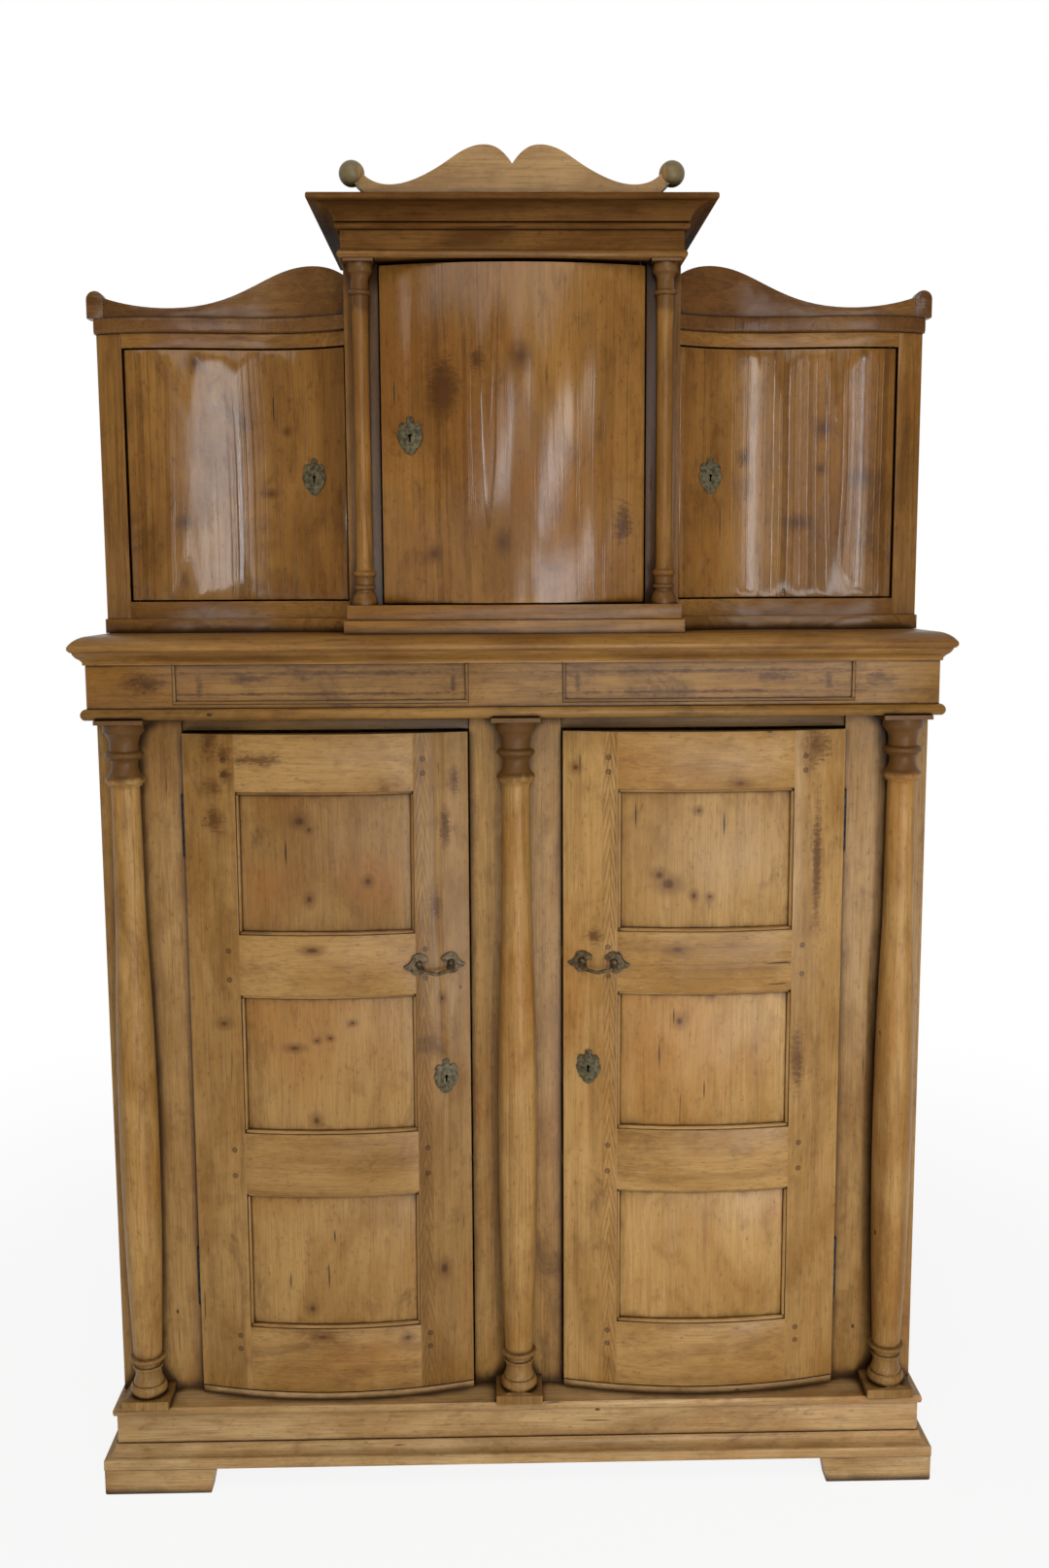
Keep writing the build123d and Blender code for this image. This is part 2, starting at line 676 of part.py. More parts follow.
def scaled(points, x, z):
    return [tuple(v * (x if i % 2 == 0 else z) for i, v in enumerate(p)) for p in points]


# Right half of the cartouche, from its crest down, in half widths and half heights.
CARTOUCHE = scaled(((0, 1), (0.22, 0.95, 0.26, 0.8), (0.24, 0.7, 0.4, 0.65), (0.64, 0.69, 0.83, 0.54),
                    (0.91, 0.41, 0.79, 0.3), (0.89, 0.21, 0.97, 0.07), (1, -0.1, 0.88, -0.24),
                    (0.87, -0.38, 0.75, -0.48), (0.69, -0.62, 0.45, -0.67),
                    (0.44, -0.82, 0.24, -0.94), (0.12, -0.99, 0, -1)), PLATE_W / 2, PLATE_H / 2)


# The left bracket of a pull, from its outer tip over its top, in half widths of the pull.
BRACKET = ((-1, -0.06), (-0.86, 0, -0.72, 0.25), (-0.5, 0.33, -0.28, 0.22), (-0.22, 0.13, -0.31, 0.07),
           (-0.42, 0.03, -0.44, -0.1), (-0.42, -0.28, -0.58, -0.34), (-0.73, -0.29, -0.73, -0.15),
           (-0.86, -0.17, -1, -0.06))


def pull():
    """A cast drop pull: two leafy brackets joined by a hanging bow, on the right door."""
    half = PULL_W / 2
    leaf = extrude(Plane.XZ * outline(*scaled(BRACKET, half, half)), PULL_LEAF_T)
    eye = half * 0.52
    boss = Pos(-eye, -PULL_LEAF_T, 0) * (Sphere(PULL_BOSS_R) & block(-20, 20, -20, 1, -20, 20))
    bracket = leaf + boss
    turn = asin(eye / DOOR.radius)
    seat = DOOR.radius - DOOR.radius / cos(turn) - SEAT
    left = Location((0, seat, 0), (0, 0, -degrees(turn))) * bracket
    right = mirror(left, Plane.YZ)
    drop, reach = PULL_DROP, PULL_REACH
    path = FilletPolyline((-eye, -2, 0), (-eye, -reach * 0.75, -drop * 0.6), (0, -reach, -drop),
                          (eye, -reach * 0.75, -drop * 0.6), (eye, -2, 0), radius=9)
    start = Plane(origin=path @ 0, z_dir=path % 0)
    bow = sweep(start * Circle(PULL_BOW_R), path)
    bow = bow & block(-half, half, -2 * reach, -1, -half, half)
    return placed(DOOR.frame(PULL_X, PULL_Z), left + bow + right)


# ---- Lower doors (drawn as the right door) ----
def door_frame(lock):
    """Two stiles and four rails."""
    x0, x1 = DOOR_IN + LOCK_STILE, DOOR_OUT - HINGE_STILE
    lock_stile = DOOR.strip(DOOR_IN, x0, DOOR_Z0, DOOR_Z1) - lock.pocket() - lock.keyhole(DOOR_T)
    hinge_stile = DOOR.strip(x1, DOOR_OUT, DOOR_Z0, DOOR_Z1)
    for cut in hinge_cuts(-1):
        hinge_stile -= cut
    rails = [DOOR.strip(x0, x1, z0, z1) for z0, z1 in rail_levels()]
    return [lock_stile, hinge_stile, *rails]


def rail_levels():
    """Foot and top of each rail, from the bottom up, with three equal panels between them."""
    clear = DOOR_Z1 - DOOR_Z0 - BOTTOM_RAIL - LOWER_RAIL - UPPER_RAIL - TOP_RAIL
    panel = clear / 3
    levels = []
    z = DOOR_Z0
    for height in (BOTTOM_RAIL, LOWER_RAIL, UPPER_RAIL, TOP_RAIL):
        levels.append((z, z + height))
        z += height + panel
    return levels


def lying_bead(x0, x1, seat, z, up):
    """A rounded bead along a rail; it lies above its seat level (1) or below it (-1)."""
    edge = z + up * DOOR_BEAD
    bead = DOOR.strip(x0, x1, min(z, edge), max(z, edge), seat, DOOR_BEAD)
    arcs = bead.edges().filter_by(lambda e: abs(e.center().Z - edge) < 0.01)
    return fillet(arcs.filter_by(GeomType.CIRCLE).sort_by(lambda e: e.radius)[-1], BEAD_ROUND)


def standing_bead(x, seat, z0, z1, right):
    """A rounded bead along a stile; it lies to the right (1) or left (-1) of x."""
    edge = x + right * DOOR_BEAD
    bead = DOOR.strip(min(x, edge), max(x, edge), z0, z1, seat, DOOR_BEAD)
    uprights = bead.edges().filter_by(Axis.Z).group_by(Axis.X)[-1 if right > 0 else 0]
    return fillet(uprights.sort_by(Axis.Y)[0], BEAD_ROUND)


def door_panels():
    """Three flat-faced panels, each with four planted beads."""
    x0, x1 = DOOR_IN + LOCK_STILE, DOOR_OUT - HINGE_STILE
    levels = rail_levels()
    pieces = []
    for lower, upper in zip(levels, levels[1:]):
        z0, z1 = lower[1], upper[0]
        seat = PANEL_SET - DOOR_BEAD
        pieces.append(DOOR.strip(x0, x1, z0, z1, PANEL_SET, PANEL_T))
        pieces.append(lying_bead(x0, x1, seat, z0, 1))
        pieces.append(lying_bead(x0, x1, seat, z1, -1))
        pieces.append(standing_bead(x0, seat, z0 + DOOR_BEAD, z1 - DOOR_BEAD, 1))
        pieces.append(standing_bead(x1, seat, z0 + DOOR_BEAD, z1 - DOOR_BEAD, -1))
    return pieces


def lower_door(side, key_z):
    """Every piece of one lower door; side is "right" or "left"."""
    lock = Lock(DOOR, KEY_X, key_z, DOOR_IN)
    pieces = {
        "frame": door_frame(lock),
        "panels": door_panels(),
        "pull": [pull()],
        "escutcheon": [lock.escutcheon()],
        "lock_case": [lock.case()],
        "lock_bolt": [lock.bolt()],
        "hinge_halves": [hinge_door_half(z) for z in HINGE_Z],
    }
    for name, group in pieces.items():
        if side == "left":
            group = [mirror(piece, Plane.YZ) for piece in group]
        save(f"{side}_door_{name}", group)
    return lock.mortise() if side == "right" else mirror(lock.mortise(), Plane.YZ)


# ---- Upper case ----
def pivot(x, y, z_door, z_rail):
    """A pin, its hole in the door and its hole in the rail, about one upright axis."""
    up = 1 if z_rail > z_door else -1
    foot = z_door - up * PIVOT_REACH
    tip = z_rail + up * PIVOT_SEAT
    low, high = min(foot, tip), max(foot, tip)
    middle = Pos(x, y, (low + high) / 2)
    pin = middle * Cylinder(PIVOT_R, high - low)
    socket = middle * Cylinder(PIVOT_R + PIN_PLAY, high - low + 2)
    return pin, socket


def wing_pivots():
    x = WING_DOOR_OUT - PIVOT_IN
    y = WING.y(x, WING_DOOR_SET + WING_DOOR_T / 2)
    foot = pivot(x, y, Z_SILL + DOOR_GAP, Z_SILL)
    head = pivot(x, y, Z_HEAD - DOOR_GAP, Z_HEAD)
    return foot, head


def centre_pivots():
    x = CENTRE_DOOR_HALF - CENTRE_PIVOT_IN
    y = CENTRE.y(x) + CENTRE_PIVOT_IN
    foot = pivot(x, y, Z_DECK + DOOR_GAP, Z_DECK)
    head = pivot(x, y, Z_SOFFIT - CENTRE_TOP_GAP, Z_SOFFIT)
    return foot, head


def upper_uprights(mortise):
    side = WING.board(UPPER_HALF - BOARD, UPPER_HALF, Z_UPPER, Z_WING, POST_T, BACK - BACK_T)
    partition = block(CENTRE_HALF - SHELF_T, CENTRE_HALF, PILASTER_BACK, BACK - BACK_T,
                      Z_UPPER, Z_SOFFIT) - mortise
    return [*both(side), *both(partition)]


def upper_floor():
    low = Z_DECK - SHELF_T
    inner = CENTRE_HALF - SHELF_T
    middle = block(-inner, inner, PILASTER_BACK, BACK - BACK_T, low, Z_DECK)
    wing = WING.board(CENTRE_HALF, UPPER_HALF - BOARD, low, Z_DECK, POST_T, BACK - BACK_T)
    return [middle, *both(wing)]


def upper_back():
    inner = CENTRE_HALF
    middle = back_boards(inner, BACK, Z_UPPER, Z_SOFFIT, 2)
    wing = block(inner, UPPER_HALF, BACK - BACK_T, BACK, Z_UPPER, Z_WING)
    return [*middle, *both(wing)]


def upper_shelves():
    front = FASCIA + SHELF_SET + UPPER_BAY
    inner = CENTRE_HALF - SHELF_T
    pieces = shelf_with_cleats(-inner, inner, front, BACK - BACK_T, UPPER_SHELF_Z)
    for piece in shelf_with_cleats(CENTRE_HALF, UPPER_HALF - BOARD, front, BACK - BACK_T,
                                   UPPER_SHELF_Z):
        pieces.extend(both(piece))
    return pieces


def wing_posts():
    return both(WING.strip(UPPER_HALF - POST_W, UPPER_HALF, Z_UPPER, Z_WING, 0, POST_T))


def wing_rails(sockets):
    outer = UPPER_HALF - POST_W
    sill = WING.strip(CENTRE_HALF, outer, Z_UPPER, Z_SILL, 0, POST_T)
    head = WING.strip(CENTRE_HALF, outer, Z_HEAD, Z_WING, 0, POST_T)
    return [*both(sill - sockets[0]), *both(head - sockets[1])]


def wing_base_mouldings():
    out = WING_SIDE_OUT
    z1 = Z_UPPER + WING_BASE_H
    face = WING.strip(CENTRE_HALF, UPPER_HALF, Z_UPPER, z1, -out, out)
    back = WING.y(UPPER_HALF)
    corner = block(UPPER_HALF, UPPER_HALF + out, back - out, BACK, Z_UPPER, z1)
    return [*both(face), *both(corner)]


def wing_tops():
    x1 = UPPER_HALF + WING_SIDE_OUT
    top = WING.board(CENTRE_HALF, x1, Z_WING, Z_CREST, -WING_TOP_OUT, BACK)
    edges = top.edges().filter_by(lambda e: abs(e.center().Y - WING_FACE) < WING_SWEEP
                                  and abs(e.center().X - WING_SPAN) < WING_SPAN
                                  and e.geom_type != GeomType.LINE)
    return both(fillet(edges, 6))


def wing_crests():
    """Crest boards that follow the wing's curve, sawn to a wave, each with a rounded end."""
    x0, x1 = CENTRE_HALF, UPPER_HALF - KNOB_W / 2
    z = Z_CREST
    wave = Spline([(x0 + u * (x1 - x0), z + v * CREST_H) for u, v in CREST_WAVE])
    face = make_face([wave, Line(wave @ 1, (x1, z)), Line((x1, z), (x0, z)),
                      Line((x0, z), wave @ 0)])
    sawn = extrude(Plane.XZ * face, DEPTH, both=True)
    crest = WING.strip(x0, x1, z, z + CREST_H * 1.2, CREST_SET, CREST_T) & sawn
    half = KNOB_W / 2
    knob = outline((-half, 0), (-half, KNOB_H - half), (0, KNOB_H, half, KNOB_H - half), (half, 0))
    y = WING.y(UPPER_HALF, CREST_SET + (CREST_T + KNOB_D) / 2)
    knob = Pos(x1 + half, y, z) * extrude(Plane.XZ * knob, KNOB_D)
    return [*both(crest), *both(knob)]


def centre_pilasters(mortise):
    pilaster = block(PILASTER_IN, CENTRE_HALF, PILASTER_FACE, PILASTER_BACK, Z_DECK, Z_SOFFIT)
    left = mirror(pilaster, Plane.YZ) - mortise
    return [pilaster, left]


def upper_column():
    """One slender turned column with a square cap, drawn on the Z axis."""
    foot = Z_DECK
    head = Z_SOFFIT - 4.5
    neck = head - 100
    profile = outline((0, foot), (21, foot), (21, foot + 8), (18, foot + 17), (14.5, foot + 22),
                      (14.5, foot + 25), (18, foot + 29, 14.5, foot + 33), (16, foot + 46),
                      (19, foot + 51, 15, foot + 56), (13.5, foot + 62), (13.5, neck),
                      (14.5, neck + 50), (18.5, neck + 54, 14.5, neck + 58),
                      (14.5, neck + 68), (16, neck + 80, 21, neck + 86), (21, head), (0, head))
    shaft = revolve(Plane.XZ * profile, Axis.Z)
    half = UPPER_CAP / 2
    cap = block(-half, half, -half, half, head, Z_SOFFIT)
    return Pos(UPPER_COLUMN_X, UPPER_COLUMN_Y, 0) * (shaft + cap)


def centre_steps(socket):
    low = block(-CENTRE_HALF - STEP_IN, CENTRE_HALF + STEP_IN, UPPER_FASCIA - STEP_OUT,
                PILASTER_BACK, Z_UPPER, Z_STEP)
    front = UPPER_FASCIA - STEP_OUT + STEP_IN
    high = block(-CENTRE_HALF, CENTRE_HALF, front, PILASTER_BACK, Z_STEP, Z_DECK) - socket
    return [low, high]


def upper_soffit(socket):
    r = SOFFIT_T / 2
    edge = [(0, Z_SOFFIT), (SOFFIT_OUT - 3, Z_SOFFIT),
            (SOFFIT_OUT, Z_SOFFIT + r, SOFFIT_OUT - 3, Z_ENTABLATURE), (0, Z_ENTABLATURE)]
    return moulded_board(CENTRE_HALF, UPPER_FASCIA, BACK, edge) - socket


def entablature():
    return box_frame(CENTRE_HALF, UPPER_FASCIA, BACK, Z_ENTABLATURE, Z_SLAB)


def upper_cornice():
    """A roll with a deep cove above it."""
    z0 = Z_SLAB - COVE_H - 2 * ROLL_R
    edge = [(0, z0), (2, z0), (2 + ROLL_R, z0 + ROLL_R, 2, z0 + 2 * ROLL_R),
            (8, z0 + 2 * ROLL_R), (16, Z_SLAB - 9, COVE_OUT, Z_SLAB), (0, Z_SLAB)]
    return mitred_moulding(CENTRE_HALF, UPPER_FASCIA, BACK, edge)


def upper_slab():
    edge = [(0, Z_SLAB), (SLAB_OUT - 2, Z_SLAB), (SLAB_OUT, Z_SLAB + 2),
            (SLAB_OUT, Z_CROWN - 2), (SLAB_OUT - 2, Z_CROWN), (0, Z_CROWN)]
    return moulded_board(CENTRE_HALF, UPPER_FASCIA, BACK, edge)


def pediment():
    """A sawn crest board with a cleft middle, and a ball on the end of each scroll arm."""
    z = Z_CROWN
    top = PEDIMENT_H
    notch = (0, z + top * 0.65)
    tip = (BALL_X - BALL_R * 0.7, z + BALL_RISE + BALL_R * 0.1)
    crown = Spline(notch, *[(u * BALL_X, z + v * top) for u, v in PEDIMENT_WAVE], tip)
    low = (BALL_X - BALL_R * 0.2, z + BALL_RISE - BALL_R * 0.8)
    heel = (BALL_X - 2 * BALL_R, z)
    belly = ThreePointArc(low, (BALL_X - 1.15 * BALL_R, z + 8), heel)
    face = make_face([crown, Line(tip, low), belly, Line(heel, (0, z)), Line((0, z), notch)])
    board = extrude(Plane.XZ * face, PEDIMENT_T)
    board = Pos(0, UPPER_FASCIA + PEDIMENT_T, 0) * board
    ball = Pos(BALL_X, UPPER_FASCIA + PEDIMENT_T / 2, z + BALL_RISE) * Sphere(BALL_R)
    board = board + mirror(board, Plane.YZ)
    for cut in both(ball):
        board -= cut
    return [board, *both(ball)]


def wing_door(lock):
    board = WING.strip(WING_DOOR_IN, WING_DOOR_OUT, Z_SILL + DOOR_GAP, Z_HEAD - DOOR_GAP,
                       WING_DOOR_SET, WING_DOOR_T)
    hanging = board.edges().filter_by(Axis.Z).group_by(Axis.X)[-1]
    board = fillet(hanging, 5)
    for _, socket in wing_pivots():
        board -= socket
    return board - lock.pocket() - lock.keyhole(WING_DOOR_T)


def centre_door(lock):
    board = CENTRE.strip(-CENTRE_DOOR_HALF, CENTRE_DOOR_HALF, Z_DECK + DOOR_GAP,
                         Z_SOFFIT - CENTRE_TOP_GAP)
    hanging = board.edges().filter_by(Axis.Z).group_by(Axis.X)[-1]
    board = fillet(hanging.sort_by(Axis.Y)[0], 6)
    for _, socket in centre_pivots():
        board -= socket
    return board - lock.pocket() - lock.keyhole(CENTRE_DOOR_T)


def upper_door(name, board, lock, left):
    """The board, escutcheon, lock case and bolt of one upper door."""
    pieces = {"board": board, "escutcheon": lock.escutcheon(), "lock_case": lock.case(),
              "lock_bolt": lock.bolt()}
    for part, piece in pieces.items():
        save(f"{name}_{part}", mirror(piece, Plane.YZ) if left else piece)


# ---- Build ----
def build_lower():
    mortises = [lower_door("right", KEY_Z_RIGHT), lower_door("left", KEY_Z_LEFT)]
    save("hinge_frame_halves",
         [half for z in HINGE_Z for half in both(hinge_frame_half(z))])
    save("case_stiles", case_stiles(mortises, hinge_cuts(1)))
    save("lower_uprights", lower_uprights())
    save("lower_back", back_boards(CASE_HALF - BOARD, BACK, Z_CASE, Z_ASTRAGAL, 5))
    save("lower_shelves", lower_shelves())
    save("door_headers", door_headers())
    save("bottom_board", bottom_board())
    save("astragal_board", astragal_board())
    save("frieze", frieze())
    save("frieze_beads", frieze_beads())
    save("lower_cornice", lower_cornice())
    save("lower_top", lower_top())
    save("plinth", plinth())
    save("base_moulding", base_moulding())
    save("feet", feet())
    save("lower_columns", lower_columns())


def build_upper():
    wing_lock = Lock(WING, WING_KEY_X, WING_KEY_Z, WING_DOOR_IN)
    centre_lock = Lock(CENTRE, CENTRE_KEY_X, CENTRE_KEY_Z, -CENTRE_DOOR_HALF)
    (wing_foot, wing_foot_hole), (wing_head, wing_head_hole) = wing_pivots()
    (centre_foot, centre_foot_hole), (centre_head, centre_head_hole) = centre_pivots()
    save("pivot_pins", [*both(wing_foot), *both(wing_head), centre_foot, centre_head])
    save("upper_uprights", upper_uprights(wing_lock.mortise()))
    save("upper_floor", upper_floor())
    save("upper_back", upper_back())
    save("upper_shelves", upper_shelves())
    save("wing_posts", wing_posts())
    save("wing_rails", wing_rails((wing_foot_hole, wing_head_hole)))
    save("wing_base_mouldings", wing_base_mouldings())
    save("wing_tops", wing_tops())
    save("wing_crests", wing_crests())
    save("centre_pilasters", centre_pilasters(centre_lock.mortise()))
    save("upper_columns", both(upper_column()))
    save("centre_steps", centre_steps(centre_foot_hole))
    save("upper_soffit", upper_soffit(centre_head_hole))
    save("entablature", entablature())
    save("upper_cornice", upper_cornice())
    save("upper_slab", upper_slab())
    save("pediment", pediment())
    upper_door("right_wing_door", wing_door(wing_lock), wing_lock, False)
    upper_door("left_wing_door", wing_door(wing_lock), wing_lock, True)
    upper_door("centre_door", centre_door(centre_lock), centre_lock, False)


os.makedirs("parts", exist_ok=True)
build_lower()
build_upper()
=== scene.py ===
"""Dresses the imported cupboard: worn edges, waxed pine and old metal, on a white studio floor."""
import json
import math
import random

import bmesh
import bpy
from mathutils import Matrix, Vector

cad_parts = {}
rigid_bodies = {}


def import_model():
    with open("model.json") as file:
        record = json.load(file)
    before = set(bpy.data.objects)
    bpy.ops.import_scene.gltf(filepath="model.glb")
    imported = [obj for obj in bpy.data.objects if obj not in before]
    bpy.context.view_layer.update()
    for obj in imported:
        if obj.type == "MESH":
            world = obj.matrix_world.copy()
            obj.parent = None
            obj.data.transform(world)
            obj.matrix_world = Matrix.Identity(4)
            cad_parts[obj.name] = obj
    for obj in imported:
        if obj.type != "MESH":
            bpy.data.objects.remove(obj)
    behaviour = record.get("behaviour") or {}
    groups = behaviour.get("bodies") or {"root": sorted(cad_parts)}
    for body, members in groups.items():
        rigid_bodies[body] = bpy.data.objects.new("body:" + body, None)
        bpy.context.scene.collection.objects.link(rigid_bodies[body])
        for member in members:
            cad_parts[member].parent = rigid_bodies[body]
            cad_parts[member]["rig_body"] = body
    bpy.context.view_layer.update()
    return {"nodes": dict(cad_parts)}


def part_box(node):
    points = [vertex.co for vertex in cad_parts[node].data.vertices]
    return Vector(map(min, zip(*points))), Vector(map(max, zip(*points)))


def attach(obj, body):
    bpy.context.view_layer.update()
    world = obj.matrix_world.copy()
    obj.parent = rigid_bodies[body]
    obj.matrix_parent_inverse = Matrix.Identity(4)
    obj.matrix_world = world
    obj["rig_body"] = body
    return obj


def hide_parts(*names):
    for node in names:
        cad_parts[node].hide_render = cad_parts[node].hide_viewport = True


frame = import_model()
NODES = frame["nodes"]
X, Y, Z = 0, 1, 2


# ---------------------------------------------------------------- node helpers
def srgb(r, g, b):
    """A colour of 0 to 255 as the shaders want it."""
    def lin(c):
        c /= 255
        return c / 12.92 if c <= 0.04045 else ((c + 0.055) / 1.055) ** 2.4
    return lin(r), lin(g), lin(b)


class Tree:
    """Short calls for building shader nodes in an emptied node tree."""

    def __init__(self, tree):
        self.t = tree
        self.t.nodes.clear()

    def put(self, sock, v):
        """Links or sets a socket."""
        if hasattr(v, "is_output"):
            self.t.links.new(v, sock)
        elif isinstance(v, (tuple, list)) and len(v) == 3 and len(sock.default_value) == 4:
            sock.default_value = (*v, 1)
        else:
            sock.default_value = v

    def node(self, kind, props=None, **ins):
        n = self.t.nodes.new("ShaderNode" + kind)
        for k, v in (props or {}).items():
            setattr(n, k, v)
        for k, v in ins.items():
            self.put(n.inputs[k], v)
        return n

    def math(self, op, a, b=0.0, c=None):
        n = self.node("Math", {"operation": op})
        for i, v in enumerate((a, b) if c is None else (a, b, c)):
            self.put(n.inputs[i], v)
        return n.outputs[0]

    def vmath(self, op, a, b=None):
        n = self.node("VectorMath", {"operation": op})
        self.put(n.inputs[0], a)
        if b is not None:
            self.put(n.inputs[1], b)
        return n.outputs["Value" if op in ("LENGTH", "DISTANCE") else "Vector"]

    def attr(self, name, kind="Vector"):
        return self.node("Attribute", {"attribute_name": name}).outputs[kind]

    def span(self, v, a, b, lo=0.0, hi=1.0):
        """lo to hi, smoothly, as v goes from a to b."""
        n = self.node("MapRange", {"interpolation_type": "SMOOTHSTEP"})
        for i, x in enumerate((v, a, b, lo, hi)):
            self.put(n.inputs[i], x)
        return n.outputs[0]

    def around(self, v, amount, base):
        """base, moved up or down by the noise v, whose middle is 0.5."""
        return self.math("MULTIPLY_ADD", self.math("SUBTRACT", v, 0.5), amount, base)

    def noise(self, vec, scale, detail, rough, dist=0.0):
        return self.node("TexNoise", None, Vector=vec, Scale=scale, Detail=detail,
                         Roughness=rough, Distortion=dist).outputs["Fac"]

    def mix(self, fac, a, b, mode="MIX"):
        n = self.node("Mix", {"data_type": "RGBA", "blend_type": mode})
        self.put(n.inputs[0], fac)
        self.put(n.inputs[6], a)
        self.put(n.inputs[7], b)
        return n.outputs[2]

    def ramp(self, fac, stops):
        n = self.node("ValToRGB", None, Fac=fac)
        e = n.color_ramp.elements
        e.remove(e[-1])
        e[0].position, e[0].color = stops[0][0], (*stops[0][1], 1)
        for p, c in stops[1:]:
            e.new(p).color = (*c, 1)
        return n.outputs[0]

    def mix_shaders(self, fac, a, b):
        n = self.node("MixShader")
        for i, v in enumerate((fac, a, b)):
            self.put(n.inputs[i], v)
        return n.outputs[0]


class Surface(Tree):
    """The nodes of a new material, round one Principled shader."""

    def __init__(self, name):
        self.mat = bpy.data.materials.new(name)
        self.mat.use_nodes = True
        super().__init__(self.mat.node_tree)
        self.out = self.node("OutputMaterial")
        self.bsdf = self.node("BsdfPrincipled")
        self.put(self.out.inputs[0], self.bsdf.outputs[0])


# ---------------------------------------------------------------- the wood
# Cells of each noise per metre, across, through and along the grain.
CELLS = {
    "knots": (6.5, 2.0, 3.6), "sway": (5.0, 3.0, 1.3), "wobble": (45.0, 25.0, 9.0),
    "years": (9.0, 5.0, 0.9), "fibres": (420.0, 420.0, 12.0), "streaks": (38.0, 38.0, 1.8),
    "patches": (7.0, 7.0, 3.0), "mottling": (34.0, 34.0, 17.0), "hues": (4.0, 4.0, 2.2),
    "grit": (150.0, 150.0, 70.0), "smears": (9.0, 9.0, 4.5), "cracks": (190.0, 60.0, 8.0),
    "cracked": (9.0, 9.0, 6.0), "pits": (24.0, 24.0, 14.0), "crazing": (110.0, 110.0, 420.0),
}
SMEAR_PLACE = (7.1, 3.3, 1.9)      # keeps the smears apart from the other noises
BRUSH_CELLS = (80.0, 80.0, 230.0)  # per metre along X, Y and Z, for the strokes of a smudge
RINGS_PER_METRE = 150.0
AMBER = (1.16, 0.92, 0.70)         # what the middle colour is multiplied by where it is amber
STAIN_BROWN = srgb(58, 36, 18)
# the colour of smudges, and of the painted shade with dirt along the frieze panels
SMUDGE_AND_SHADE_BROWN = srgb(66, 38, 12)
# the colour of the dirt and painted shade in corners
DIRT_AND_SHADE_BROWN = srgb(52, 30, 14)
# the near black of the painted shade, with dirt, in narrow grooves
GROOVE_DIRT_AND_SHADE = srgb(40, 23, 10)
CRACK_BROWN = srgb(36, 22, 12)
KNOT_BROWN = srgb(66, 36, 15)
PEG_BROWN = srgb(60, 36, 18)
WEATHERED = srgb(96, 90, 64)
PEG_EDGE = (0.0052, 0.0044)        # the radii between which a peg's outline fades in
PEG_RIM = (0.0020, 0.0040)         # and those between which it darkens towards its rim
FLAME_TURNS = (150.0, 30.0)        # lines of the pointed figure per metre, across and upwards
RUBBED = 0.004                     # how far from an edge the wax is rubbed off
BUMP_HEIGHT = 0.0004
# A board's own shade, from the darkest tone to the palest.
TONES = [(0.0, (0.62, 0.57, 0.52)), (0.5, (1, 1, 1)), (1.0, (1.25, 1.28, 1.30))]


